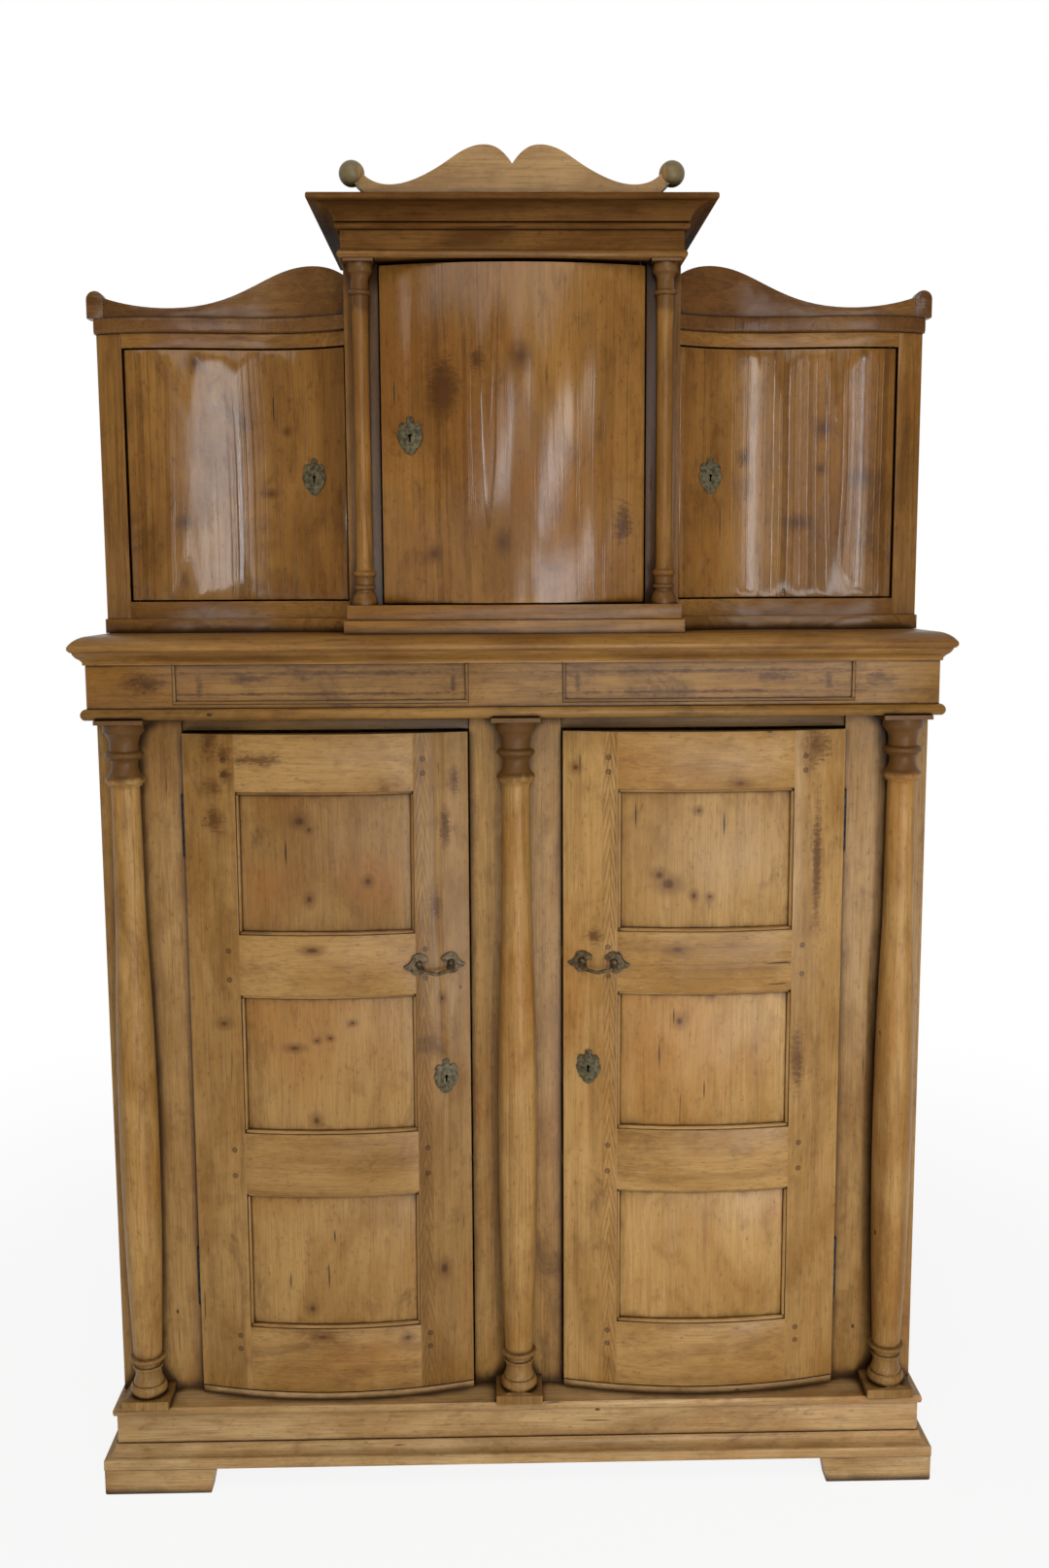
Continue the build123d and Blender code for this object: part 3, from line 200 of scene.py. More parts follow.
class Pine(Surface):
    """Waxed old pine, laid on in layers. Three values ride on each mesh: gr (place across, through
    and along the grain), rg (place in the log) and tone (a board's own shade)."""

    def __init__(self, name, light, mid, dark):
        super().__init__(name)
        self.light, self.mid, self.dark = light, mid, dark
        self.gr = self.attr("gr")
        self.obj = self.node("TexCoord").outputs["Object"]
        place = self.node("SeparateXYZ", None, Vector=self.obj).outputs
        self.far = self.math("ABSOLUTE", place[X])
        self.high = place[Z]
        self.sway = self.grained("sway", 2.0)
        self.wobble = self.grained("wobble", 2.0)
        self.fibres = self.grained("fibres", 3.0, 0.65)
        self.streaks = self.grained("streaks", 4.0, 0.62)
        self.patches = self.grained("patches", 4.0, 0.62, 0.7)
        self.mottling = self.grained("mottling", 5.0, 0.66, 0.4)
        self.col = self.mix(self.span(self.patches, 0.36, 0.64), light, mid)

    def cells(self, what):
        return self.vmath("MULTIPLY", self.gr, CELLS[what])

    def grained(self, what, detail=1.0, rough=0.5, dist=0.0):
        return self.noise(self.cells(what), 1.0, detail, rough, dist)

    def scattered(self, what):
        """Distance to the nearest of many scattered points, and two random values of that point."""
        cell = self.node("TexVoronoi", {"feature": "F1"}, Vector=self.cells(what), Scale=1.0,
                         Randomness=1.0).outputs
        pick = self.node("SeparateColor", None, Color=cell["Color"]).outputs
        return cell["Distance"], pick[0], pick[1]

    def lay(self, where, tint, force=1.0):
        """Lays a tint over the colour so far. where is 0 to 1, and force its full strength."""
        self.col = self.mix(self.math("MULTIPLY", where, force), self.col, tint)

    def nearest(self, distances):
        near = distances[0]
        for d in distances[1:]:
            near = self.math("MINIMUM", near, d)
        return near

    def late_wood(self, turns, start, full):
        """One line per turn, which darkens slowly and ends sharply."""
        f = self.math("FRACT", turns)
        return self.math("MULTIPLY", self.span(f, start, full), self.span(f, 1.0, 0.90))

    def knots(self, share):
        """The core of each knot, and the halo round it."""
        d, chance, girth = self.scattered("knots")
        here = self.math("LESS_THAN", chance, share)
        d = self.math("DIVIDE", d, self.math("MULTIPLY_ADD", girth, 0.030, 0.022))
        return (self.math("MULTIPLY", self.span(d, 1.2, 0.45), here),
                self.math("MULTIPLY", self.span(d, 4.0, 0.6), here))

    def rings(self, halo):
        """Growth rings of uneven width and strength, which bend round the knots."""
        r = self.vmath("LENGTH", self.attr("rg"))
        r = self.around(self.sway, 0.034, r)
        r = self.around(self.wobble, 0.0032, r)
        r = self.math("MULTIPLY_ADD", halo, 0.008, r)
        drift = self.node("TexNoise", {"noise_dimensions": "1D"}, W=r, Scale=38.0, Detail=1.0)
        turns = self.math("MULTIPLY_ADD", drift.outputs["Fac"], 7.0,
                          self.math("MULTIPLY", r, RINGS_PER_METRE))
        each = self.node("TexWhiteNoise", {"noise_dimensions": "1D"}, W=self.math("FLOOR", turns))
        late = self.math("MULTIPLY", self.late_wood(turns, 0.30, 0.84),
                         self.math("POWER", each.outputs["Value"], 1.6))
        return self.math("MULTIPLY", late, self.span(self.grained("years"), 0.38, 0.60, 0.25, 1.3))

    def flame_figure(self, x, late):
        """Adds a narrow strip of pointed figure at x, and one at -x, to the rings."""
        off = self.math("ABSOLUTE", self.math("SUBTRACT", self.far, x))
        turns = self.math("MULTIPLY_ADD", off, FLAME_TURNS[0],
                          self.math("MULTIPLY", self.high, FLAME_TURNS[1]))
        turns = self.math("MULTIPLY_ADD", self.sway, 3.0, turns)
        return self.math("MULTIPLY_ADD", self.late_wood(turns, 0.25, 0.85),
                         self.span(off, 0.013, 0.009, 0.0, 1.8), late)

    def figure(self, late, ring, streak, fibre, blotch, warm):
        """Amber patches, streaks, rings, fibres, grit, mottling and smears, in that order."""
        amber = self.mix(1.0, self.mid, AMBER, "MULTIPLY")
        self.lay(self.span(self.grained("hues", 3.0, 0.6, 0.5), 0.50, 0.66), amber, warm)
        self.lay(self.span(self.streaks, 0.44, 0.74), self.dark, streak)
        self.lay(late, self.dark, ring)
        self.lay(self.span(self.fibres, 0.40, 0.74), self.dark, fibre)
        grit = self.grained("grit", 3.0, 0.7)
        self.lay(self.span(grit, 0.56, 0.74), self.dark, 0.50)
        self.lay(self.span(grit, 0.44, 0.30), self.light, 0.25)
        self.lay(self.span(self.mottling, 0.50, 0.72), self.dark, 0.42 * blotch + 0.08)
        self.lay(self.span(self.mottling, 0.46, 0.28), self.light, 0.30)
        place = self.vmath("ADD", self.cells("smears"), SMEAR_PLACE)
        smear = self.span(self.noise(place, 1.0, 6.0, 0.70, 1.0), 0.57, 0.74)
        self.lay(smear, self.mix(0.45, self.dark, STAIN_BROWN), blotch)

    def cracks(self):
        """Short cracks along the grain, and small pits."""
        crack = self.math("MULTIPLY", self.span(self.grained("cracks"), 0.745, 0.79),
                          self.span(self.grained("cracked"), 0.50, 0.60))
        d, chance, _ = self.scattered("pits")
        pit = self.math("MULTIPLY", self.span(d, 0.085, 0.045),
                        self.math("LESS_THAN", chance, 0.10))
        return self.math("MAXIMUM", crack, pit)

    def ellipse(self, x, z, w, h):
        """Distance from (x, z), as a share of the half width and half height."""
        from_middle = self.vmath("SUBTRACT", self.obj, (x, 0, z))
        return self.vmath("LENGTH", self.vmath("MULTIPLY", from_middle, (1 / w, 0, 1 / h)))

    def single_marks(self, marks):
        """Ragged ellipses at (x, z, half width, half height), listed by kind."""
        strokes = self.noise(self.vmath("MULTIPLY", self.obj, BRUSH_CELLS), 1.0, 4.0, 0.7, 0.5)
        # the tint of smudges, also of the painted shade with dirt along the frieze's sunk panels
        smudge_and_shade = self.mix(0.25, self.dark, SMUDGE_AND_SHADE_BROWN)
        thin = self.span(self.mottling, 0.34, 0.60, 0.50, 0.95)
        # what makes the edge ragged and how much, where it starts and is full, tint and strength
        looks = {"stain": (self.mottling, 1.2, 1.8, 0.0, srgb(156, 98, 42), 0.42),
                 "smudge_and_shade": (strokes, 3.2, 1.6, 0.3, smudge_and_shade, thin),
                 "crack": (self.wobble, 0.5, 1.3, 0.3, srgb(30, 18, 10), 0.90),
                 "knot": (self.wobble, 0.9, 1.3, 0.3, srgb(74, 42, 18), 0.86),
                 # the keyhole mark is painted shade: near black where the bore looks into the dark
                 "keyhole": (self.wobble, 0.0, 1.1, 0.9, srgb(12, 9, 6), 1.0)}
        for kind, (ragged, push, start, full, tint, force) in looks.items():
            if kind not in marks:
                continue
            near = self.nearest([self.ellipse(*mark) for mark in marks[kind]])
            d = self.around(ragged, push, near)
            if kind == "knot":
                self.lay(self.span(d, 3.6, 0.9), self.dark, 0.55)
            self.lay(self.span(d, start, full), tint, force)

    def peg_ends(self, pegs):
        """The ends of the pegs at (x, z) and (-x, z), drawn as dark discs with darker rims."""
        place = self.node("CombineXYZ", None, X=self.far, Z=self.high).outputs[0]
        near = self.nearest([self.vmath("DISTANCE", place, (x, 0, z)) for x, z in pegs])
        rim = self.math("MULTIPLY", self.span(near, *PEG_EDGE), self.span(near, *PEG_RIM, 0.75))
        self.lay(rim, PEG_BROWN, 0.75)

    def darker_band(self, low, high, force):
        """Darker brown from z low to z high, with uneven borders 12 mm wide."""
        z = self.around(self.mottling, 0.03, self.high)
        here = self.math("MULTIPLY", self.span(z, low - 0.006, low + 0.006),
                         self.span(z, high + 0.006, high - 0.006))
        self.lay(here, self.mix(0.5, self.dark, STAIN_BROWN), force)

    def wear(self, grime_and_shade, reach):
        """Rubbed edges, then dirt and painted shade in the corners, and near black painted shade,
        with dirt, in the narrow grooves.
        """
        edge = self.node("AmbientOcclusion", {"samples": 4, "inside": True, "only_local": True},
                         Distance=RUBBED).outputs["AO"]
        bare = self.math("MULTIPLY", self.span(edge, 0.62, 0.35),
                         self.span(self.patches, 0.35, 0.60))
        self.lay(bare, self.light, 0.30)
        # painted shade: the corners darken by how closed in they are, with dirt mixed in by the
        # mottling
        open_air = self.node("AmbientOcclusion", {"samples": 8}, Distance=reach).outputs["AO"]
        dirt_and_shade = self.span(self.around(self.mottling, 1.1, open_air), 0.90, 0.38)
        dirt_and_shade = self.math("MULTIPLY", dirt_and_shade, grime_and_shade)
        self.lay(dirt_and_shade, self.mix(0.55, self.dark, DIRT_AND_SHADE_BROWN))
        # painted shade: the narrowest grooves turn near black, with their dirt
        self.lay(self.span(open_air, 0.72, 0.46), GROOVE_DIRT_AND_SHADE, 0.85)
        return dirt_and_shade

    def relief(self, late, core, crack, craze):
        """The bump: rings and streaks stand proud, and knots and cracks are sunk."""
        h = self.math("MULTIPLY_ADD", late, 0.6, self.math("MULTIPLY", self.fibres, 0.12))
        h = self.math("MULTIPLY_ADD", self.streaks, 0.3, h)
        h = self.math("MULTIPLY_ADD", self.noise(self.obj, 130.0, 3.0, 0.65), 0.3, h)
        if craze:
            h = self.math("MULTIPLY_ADD", self.grained("crazing", 2.0), craze, h)
        h = self.math("MULTIPLY_ADD", core, -0.6, h)
        h = self.math("MULTIPLY_ADD", crack, -1.2, h)
        return self.node("Bump", None, Strength=0.6, Distance=BUMP_HEIGHT, Height=h).outputs[0]


def pine(name, palette, ring=0.25, blotch=0.6, rough=0.40, shine=0.2, knots=0.16, grime_and_shade=0.75,
         reach=0.03, streak=0.45, fibre=0.50, craze=0.0, warm=0.35, marks=None, pegs=(),
         flame=None, dark_ends=(), grey_from=None):
    """One kind of the pine. ring, blotch, streak, fibre, craze, warm and grime_and_shade are
    strengths, knots is a share, and reach is how far the dirt and painted shade come out of a
    corner. marks are single marks by kind, pegs are (x, z), flame is the x of a strip of pointed
    figure, dark_ends are (z low, z high, strength), and what lies further out than grey_from is
    grey."""
    s = Pine(name, *palette)
    core, halo = s.knots(knots)
    late = s.rings(halo)
    if flame:
        late = s.flame_figure(flame, late)
    s.figure(late, ring, streak, fibre, blotch, warm)
    crack = s.cracks()
    s.lay(crack, CRACK_BROWN, 0.85)
    s.lay(halo, s.dark, 0.35)
    s.lay(core, KNOT_BROWN, 0.80)
    if marks:
        s.single_marks(marks)
    if pegs:
        s.peg_ends(pegs)
    for low, high, force in dark_ends:
        s.darker_band(low, high, force)
    if grey_from:
        s.lay(s.span(s.far, grey_from, grey_from + 0.004), WEATHERED, 0.75)
    s.col = s.mix(1.0, s.col, s.ramp(s.attr("tone", "Fac"), TONES), "MULTIPLY")
    # rubbed edges, and dirt with painted shade in the corners and grooves
    dirt_and_shade = s.wear(grime_and_shade, reach)
    s.put(s.bsdf.inputs["Base Color"], s.col)
    dull = s.math("MULTIPLY_ADD", late, -0.05, s.around(s.mottling, 0.14, rough))
    s.put(s.bsdf.inputs["Roughness"], s.math("MULTIPLY_ADD", dirt_and_shade, 0.10, dull))
    s.put(s.bsdf.inputs["Specular IOR Level"], shine)
    s.put(s.bsdf.inputs["Normal"], s.relief(late, core, crack, craze))
    return s.mat


def old_metal(name, base, worn, grime_and_shade, rough, metal):
    """Patinated metal with rubbed high spots and dark hollows."""
    s = Surface(name)
    obj = s.node("TexCoord").outputs["Object"]
    coarse = s.noise(obj, 160.0, 4.0, 0.65)
    fine = s.noise(obj, 900.0, 3.0, 0.6)
    col = s.mix(s.span(coarse, 0.35, 0.68), base, worn)
    open_air = s.node("AmbientOcclusion", {"samples": 6}, Distance=0.010).outputs["AO"]
    hollow = s.span(s.around(coarse, 0.5, open_air), 0.92, 0.55)
    s.put(s.bsdf.inputs["Base Color"], s.mix(hollow, col, grime_and_shade))
    s.put(s.bsdf.inputs["Metallic"], metal)
    s.put(s.bsdf.inputs["Specular IOR Level"], 0.3)
    s.put(s.bsdf.inputs["Roughness"], s.around(coarse, 0.35, rough))
    relief = s.node("Bump", None, Strength=0.4, Distance=0.0005,
                    Height=s.math("MULTIPLY_ADD", fine, 0.5, coarse))
    s.put(s.bsdf.inputs["Normal"], relief.outputs[0])
    return s.mat


# ---------------------------------------------------------------- meshes
SAME_PLACE = 1e-5                  # metres within which the vertices of one solid are welded
FLAT_ANGLE = math.radians(0.4)     # faces that meet at less are one face
SHARP_ANGLE = math.radians(32)     # edges that turn more are sharp, and get worn


def add_object(name, data):
    o = bpy.data.objects.new(name, data)
    bpy.context.scene.collection.objects.link(o)
    return o


def parts_of(me):
    """For every vertex, the number of the solid it belongs to, and how many solids there are.
    Solids that touch stay apart: where four faces meet at an edge, they pair up so that no face
    joins the one that lies against it."""
    places = {}
    at = [places.setdefault(tuple(round(c, 5) for c in v.co), len(places)) for v in me.vertices]
    parent = list(range(len(at)))

    def root(a):
        while parent[a] != a:
            parent[a] = parent[parent[a]]
            a = parent[a]
        return a

    def join(a, b):
        a, b = root(a), root(b)
        if a != b:
            parent[b] = a

    # for every edge, the way each of its faces runs along it, a vertex of the face, and the face
    edges = {}
    for face in me.polygons:
        corners = list(face.vertices)
        for b in corners[1:]:
            join(corners[0], b)
        for a, b in zip(corners, corners[1:] + corners[:1]):
            if at[a] != at[b]:
                met = edges.setdefault(frozenset((at[a], at[b])), [])
                met.append((at[a] < at[b], corners[0], face))
    for met in edges.values():
        one = [m for m in met if m[0]]
        two = [m for m in met if not m[0]]
        if len(one) != len(two) or len(one) > 2:
            continue
        ways = [two, two[::-1]]
        two = max(ways, key=lambda w: min(m[2].normal.dot(n[2].normal) for m, n in zip(one, w)))
        for m, n in zip(one, two):
            join(m[1], n[1])
    numbers = {}
    part = [numbers.setdefault(root(i), len(numbers)) for i in range(len(at))]
    return part, len(numbers)


def board_cut(rnd, lo, hi, along, thick, tone, vary, flat):
    """How the board between two corners was cut: its axes across, through and along the grain,
    its middle, its place in the noises, the heart of its log and its tone. flat is the chance that
    the heart lies behind the middle of the board, and not beyond its edge."""
    size = hi - lo
    order = sorted((X, Y, Z), key=lambda a: size[a])
    if callable(along):
        along = along(lo, hi)
    if along is None:
        along = order[2]
    if thick is None or thick == along:
        thick = next(a for a in order if a != along)
    across = 3 - along - thick
    mid = (lo + hi) / 2
    off = [rnd.uniform(-40, 40) for _ in range(3)]
    if rnd.random() < flat:
        heart = mid[across] + rnd.uniform(-0.25, 0.25) * size[across]
        depth = rnd.uniform(0.004, 0.02)
        tilt = rnd.choice((-1, 1)) * rnd.uniform(0.02, 0.05)
    else:
        heart = mid[across] + rnd.choice((-1, 1)) * (size[across] / 2 + rnd.uniform(0.02, 0.10))
        depth = rnd.uniform(0.01, 0.05)
        tilt = rnd.uniform(-0.02, 0.02)
    if callable(tone):
        tone = tone(lo, hi)
    return across, thick, along, mid, off, heart, depth, tilt, tone + rnd.uniform(-vary, vary)


def grain(o, seed, *cut):
    """Writes gr, rg and tone on a mesh, for each solid by itself."""
    rnd = random.Random(seed)
    me = o.data
    part, count = parts_of(me)
    los = [Vector((9, 9, 9)) for _ in range(count)]
    his = [Vector((-9, -9, -9)) for _ in range(count)]
    for v, k in zip(me.vertices, part):
        for a in (X, Y, Z):
            los[k][a] = min(los[k][a], v.co[a])
            his[k][a] = max(his[k][a], v.co[a])
    boards = [board_cut(rnd, lo, hi, *cut) for lo, hi in zip(los, his)]
    gr, rg, tones = [], [], []
    for v, k in zip(me.vertices, part):
        across, thick, along, mid, off, heart, depth, tilt, tone = boards[k]
        gr += [v.co[across] + off[0], v.co[thick] + off[1], v.co[along] + off[2]]
        deep = depth + tilt * (v.co[along] - mid[along]) + 0.3 * (v.co[thick] - mid[thick])
        rg += [v.co[across] - heart, deep, 0.0]
        tones.append(tone)
    for name, kind, data, field in (("gr", "FLOAT_VECTOR", gr, "vector"),
                                    ("rg", "FLOAT_VECTOR", rg, "vector"),
                                    ("tone", "FLOAT", tones, "value")):
        me.attributes.new(name, kind, "POINT").data.foreach_set(field, data)


def rebuild(node, mat, bevel):
    """A finer piece in a node's place: each solid is welded by itself, its flat faces are joined
    up, and its sharp edges are rounded a little by wear."""
    src = NODES[node].data
    part, count = parts_of(src)
    bm = bmesh.new()
    bm.from_mesh(src)
    bm.verts.ensure_lookup_table()
    groups = [[] for _ in range(count)]
    for v in bm.verts:
        groups[part[v.index]].append(v)
    for g in groups:
        bmesh.ops.remove_doubles(bm, verts=g, dist=SAME_PLACE)
    bmesh.ops.dissolve_limit(bm, angle_limit=FLAT_ANGLE, verts=bm.verts, edges=bm.edges)
    for f in bm.faces:
        f.smooth = True
    me = bpy.data.meshes.new(node + "_worn")
    bm.to_mesh(me)
    bm.free()
    me.materials.append(mat)
    o = add_object(node + "_worn", me)
    if bevel:
        b = o.modifiers.new("bevel", "BEVEL")
        b.width = bevel
        b.segments = 2
        b.limit_method = "ANGLE"
        b.angle_limit = SHARP_ANGLE
        b.harden_normals = True
    else:
        me.set_sharp_from_angle(angle=SHARP_ANGLE)
    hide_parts(node)
    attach(o, NODES[node]["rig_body"])
    return o


def wooden(node, mat, along=None, thick=None, tone=0.5, bevel=0.0008, vary=0.10, flat=0.3):
    """Rebuilds a node in wood. along and thick are the axes along and through the grain, and the
    longest and the shortest if they are not given. along and tone may be calls of two corners."""
    grain(rebuild(node, mat, bevel), node, along, thick, tone, vary, flat)


# ---------------------------------------------------------------- single marks, placed one by one
# Each is (x, z, half width, half height), in metres.
DOOR_MARKS = {
    "smudge_and_shade": [
        (-0.510, 1.310, 0.012, 0.030), (-0.483, 1.285, 0.012, 0.014), (-0.482, 1.250, 0.010, 0.012),
        (-0.507, 1.230, 0.018, 0.012), (-0.502, 1.175, 0.016, 0.018), (-0.423, 1.277, 0.040, 0.008),
        (-0.119, 1.155, 0.008, 0.030), (-0.135, 1.030, 0.010, 0.022), (-0.105, 1.240, 0.008, 0.024),
        (0.505, 1.290, 0.020, 0.024), (0.509, 1.100, 0.007, 0.090), (0.133, 0.970, 0.012, 0.012),
        (0.480, 0.750, 0.010, 0.050),
    ],
    "knot": [
        (-0.343, 0.955, 0.010, 0.004), (-0.127, 0.865, 0.004, 0.005), (-0.498, 0.825, 0.007, 0.005),
        (-0.129, 0.380, 0.006, 0.009), (-0.341, 0.267, 0.009, 0.004), (-0.194, 0.260, 0.006, 0.005),
        (0.374, 1.232, 0.009, 0.004), (0.101, 1.258, 0.005, 0.005), (0.271, 0.950, 0.011, 0.005),
    ],
}
PANEL_MARKS = {
    "knot": [
        (-0.361, 1.173, 0.009, 0.007), (-0.345, 1.159, 0.004, 0.004), (-0.347, 1.041, 0.005, 0.006),
        (-0.249, 1.070, 0.005, 0.005), (-0.378, 0.783, 0.009, 0.004), (-0.340, 0.796, 0.004, 0.003),
        (-0.317, 0.800, 0.004, 0.003), (-0.279, 0.826, 0.004, 0.003), (-0.344, 0.655, 0.006, 0.007),
        (-0.358, 0.315, 0.006, 0.006), (0.241, 1.076, 0.006, 0.006), (0.257, 1.061, 0.010, 0.008),
        (0.306, 1.186, 0.004, 0.004), (0.299, 1.041, 0.004, 0.005), (0.326, 1.039, 0.004, 0.004),
        (0.277, 0.823, 0.006, 0.007),
    ],
    "crack": [
        (-0.385, 1.121, 0.0018, 0.022), (-0.395, 0.365, 0.0015, 0.018),
        (-0.317, 0.447, 0.0015, 0.012), (0.201, 1.178, 0.0018, 0.028),
        (0.349, 1.161, 0.0018, 0.023), (0.267, 0.832, 0.0014, 0.014), (0.243, 0.764, 0.0018, 0.026),
        (0.320, 0.702, 0.0014, 0.018),
    ],
    "stain": [
        (-0.242, 1.070, 0.045, 0.045), (-0.410, 1.062, 0.034, 0.036),
    ],
}
HIGH_MARKS = {
    "knot": [
        (0.012, 1.926, 0.009, 0.011), (-0.113, 1.867, 0.010, 0.016), (-0.131, 1.613, 0.006, 0.006),
        (-0.018, 1.631, 0.006, 0.009), (-0.531, 1.933, 0.008, 0.008), (-0.557, 1.670, 0.007, 0.006),
        (-0.410, 1.717, 0.006, 0.004), (-0.381, 1.820, 0.004, 0.004), (0.528, 1.823, 0.007, 0.008),
        (0.598, 1.740, 0.011, 0.008), (0.490, 1.665, 0.012, 0.006), (0.525, 1.755, 0.005, 0.005),
        (0.395, 1.775, 0.006, 0.006),
    ],
    "smudge_and_shade": [
        (-0.113, 1.880, 0.020, 0.040), (0.178, 1.660, 0.014, 0.030), (-0.058, 1.922, 0.010, 0.016),
    ],
}
TOP_MARKS = {
    "knot": [
        (-0.062, 2.110, 0.020, 0.007), (-0.036, 2.116, 0.014, 0.004), (-0.090, 2.102, 0.012, 0.004),
    ],
}
# Frieze marks at (x, z, half width, half height), mirrored: thin bands along the sunk panels' edges
# are painted shade with dirt, the rest dirt.
FRIEZE_DIRT_AND_SHADE = [
    (0.310, 1.421, 0.220, 0.0030), (0.310, 1.387, 0.220, 0.0024), (0.516, 1.404, 0.005, 0.018),
    (0.102, 1.404, 0.004, 0.018), (0.430, 1.412, 0.030, 0.006), (0.600, 1.406, 0.026, 0.012),
]
FRIEZE_MARKS = {"smudge_and_shade": [(s * x, z, w, h) for s in (-1, 1) for x, z, w, h in FRIEZE_DIRT_AND_SHADE]}
PEG_X = (0.155, 0.486)
PEG_Z = (1.276, 1.252, 0.952, 0.902, 0.602, 0.556, 0.264, 0.240)
PEGS = [(x, z) for x in PEG_X for z in PEG_Z]
GREY_END = 0.034                   # how much of each end of the pediment is weathered
KEYHOLE = (0.008, 0.014)           # half width and half height
LOWER_DOORS = ("left_door", "right_door")
UPPER_DOORS = ("left_wing_door", "right_wing_door", "centre_door")


def keyholes(doors):
    """The painted shade inside the keyholes of these doors, a near black mark on the wood behind
    each bore. The plate hides the rest of each mark.
    """
    boxes = [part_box(f"{door}_escutcheon") for door in doors]
    return [((lo[X] + hi[X]) / 2, (lo[Z] + hi[Z]) / 2, *KEYHOLE) for lo, hi in boxes]


# ---------------------------------------------------------------- materials
# Each palette is the light, the middle and the dark of a wood.
# HIGH, TOPS and DARK are darker partly in the wood itself and partly as painted shade on the upper
# part.
LOW = srgb(166, 129, 76), srgb(140, 102, 50), srgb(92, 59, 24)
BASE = srgb(180, 148, 102), srgb(152, 118, 72), srgb(98, 66, 32)
FRIEZE = srgb(140, 102, 48), srgb(118, 83, 34), srgb(66, 40, 15)
TOPS = srgb(144, 103, 50), srgb(118, 79, 34), srgb(66, 39, 14)
HIGH = srgb(134, 94, 44), srgb(110, 73, 30), srgb(66, 39, 14)
DARK = srgb(106, 72, 35), srgb(82, 51, 21), srgb(48, 28, 10)
PALE = srgb(160, 126, 80), srgb(138, 104, 60), srgb(92, 62, 32)
INSIDE = srgb(160, 126, 80), srgb(136, 102, 60), srgb(98, 68, 36)

wood_low = pine("pine_lower_frame", LOW, ring=0.22, blotch=0.65)
wood_door = pine("pine_lower_door", LOW, ring=0.22, streak=0.38, fibre=0.42, flame=0.158,
                 marks=dict(DOOR_MARKS, keyhole=keyholes(LOWER_DOORS)), pegs=PEGS)
wood_panel = pine("pine_door_panel", LOW, ring=0.14, streak=0.24, fibre=0.36, warm=0.45,
                  knots=0.08, grime_and_shade=0.95, reach=0.022, marks=PANEL_MARKS)
wood_column = pine("pine_column", LOW, blotch=0.50, knots=0.10, streak=0.55, warm=0.6,
                   rough=0.42, shine=0.14, grime_and_shade=0.95, reach=0.020,
                   dark_ends=[(1.245, 1.42, 0.88), (0.14, 0.24, 0.35)])
wood_base = pine("pine_base", BASE, ring=0.22, blotch=0.70)
wood_frieze = pine("pine_frieze", FRIEZE, ring=0.22, blotch=0.95, grime_and_shade=1.0, reach=0.016,
                   marks=FRIEZE_MARKS)
wood_header = pine("pine_header", FRIEZE, ring=0.15, blotch=0.55, grime_and_shade=0.3)
wood_top = pine("pine_top", TOPS, blotch=0.45)
wood_upper = pine("pine_upper_frame", HIGH, ring=0.30, blotch=0.55, rough=0.29, shine=0.18)
wood_upper_column = pine("pine_upper_column", HIGH, ring=0.30, blotch=0.45, rough=0.34,
                         shine=0.15, grime_and_shade=0.95,
                         dark_ends=[(2.0, 2.1, 0.6), (1.48, 1.58, 0.45)])
wood_upper_door = pine("pine_upper_door", HIGH, ring=0.40, blotch=0.80, knots=0.25, rough=0.18,
                       shine=0.22, reach=0.014, streak=0.24, fibre=0.30, craze=0.30,
                       marks=dict(HIGH_MARKS, keyhole=keyholes(UPPER_DOORS)))
wood_crown = pine("pine_crown", DARK, blotch=0.55, rough=0.60, shine=0.015, marks=TOP_MARKS)
wood_crest = pine("pine_crest", DARK, ring=0.30, blotch=0.55, rough=0.28, shine=0.18)
wood_pale = pine("pine_pediment", PALE, ring=0.22, blotch=0.45,
                 grey_from=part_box("pediment")[1][X] - GREY_END)
wood_inside = pine("pine_inside", INSIDE, ring=0.3, blotch=0.3, rough=0.62, grime_and_shade=0.4)
brass = old_metal("old_brass", srgb(52, 46, 30), srgb(98, 88, 60), srgb(24, 16, 9), 0.50, 0.35)
bronze = old_metal("dark_bronze", srgb(54, 43, 27), srgb(98, 80, 50), srgb(20, 14, 8), 0.46, 0.4)
iron = old_metal("dark_iron", srgb(50, 50, 52), srgb(84, 84, 88), srgb(22, 21, 21), 0.5, 0.8)


# ---------------------------------------------------------------- dress the nodes
def upright_above(height):
    """The grain of a solid higher than this stands upright, and that of the rest runs along X."""
    return lambda lo, hi: Z if hi.z - lo.z > height else X


def frame_tone(tone):
    """The right-hand stile of each lower door is darker than the rest of its frame."""
    return lambda lo, hi: tone - 0.12 if lo.x > 0.44 or -0.2 < lo.x < 0 else tone


def panel_tone(tone):
    """The top panel of each lower door is darker than the others."""
    return lambda lo, hi: tone - 0.20 if lo.z > 0.95 else tone


# The right door is paler than the left, partly in its own wood and partly as painted light from the
# right.
for side, of_frame, of_panels in (("left", 0.32, 0.32), ("right", 0.53, 0.64)):
    wooden(f"{side}_door_frame", wood_door, upright_above(0.9), Y, frame_tone(of_frame),
           vary=0.05, flat=0.6)
    wooden(f"{side}_door_panels", wood_panel, upright_above(0.1), Y, panel_tone(of_panels),
           bevel=0.0012, vary=0.03)
wooden("case_stiles", wood_low, Z, Y, tone=0.36)
wooden("door_headers", wood_header, X, Y, tone=0.8)
wooden("lower_columns", wood_column, Z, Y, bevel=0, vary=0.05)
wooden("plinth", wood_base)
wooden("base_moulding", wood_base, tone=0.45, bevel=0.0006)
wooden("feet", wood_base, bevel=0.002)
wooden("bottom_board", wood_base, X, Z, bevel=0.0005)
wooden("astragal_board", wood_frieze, X, Z, bevel=0.0005)
wooden("frieze", wood_frieze, tone=0.42)
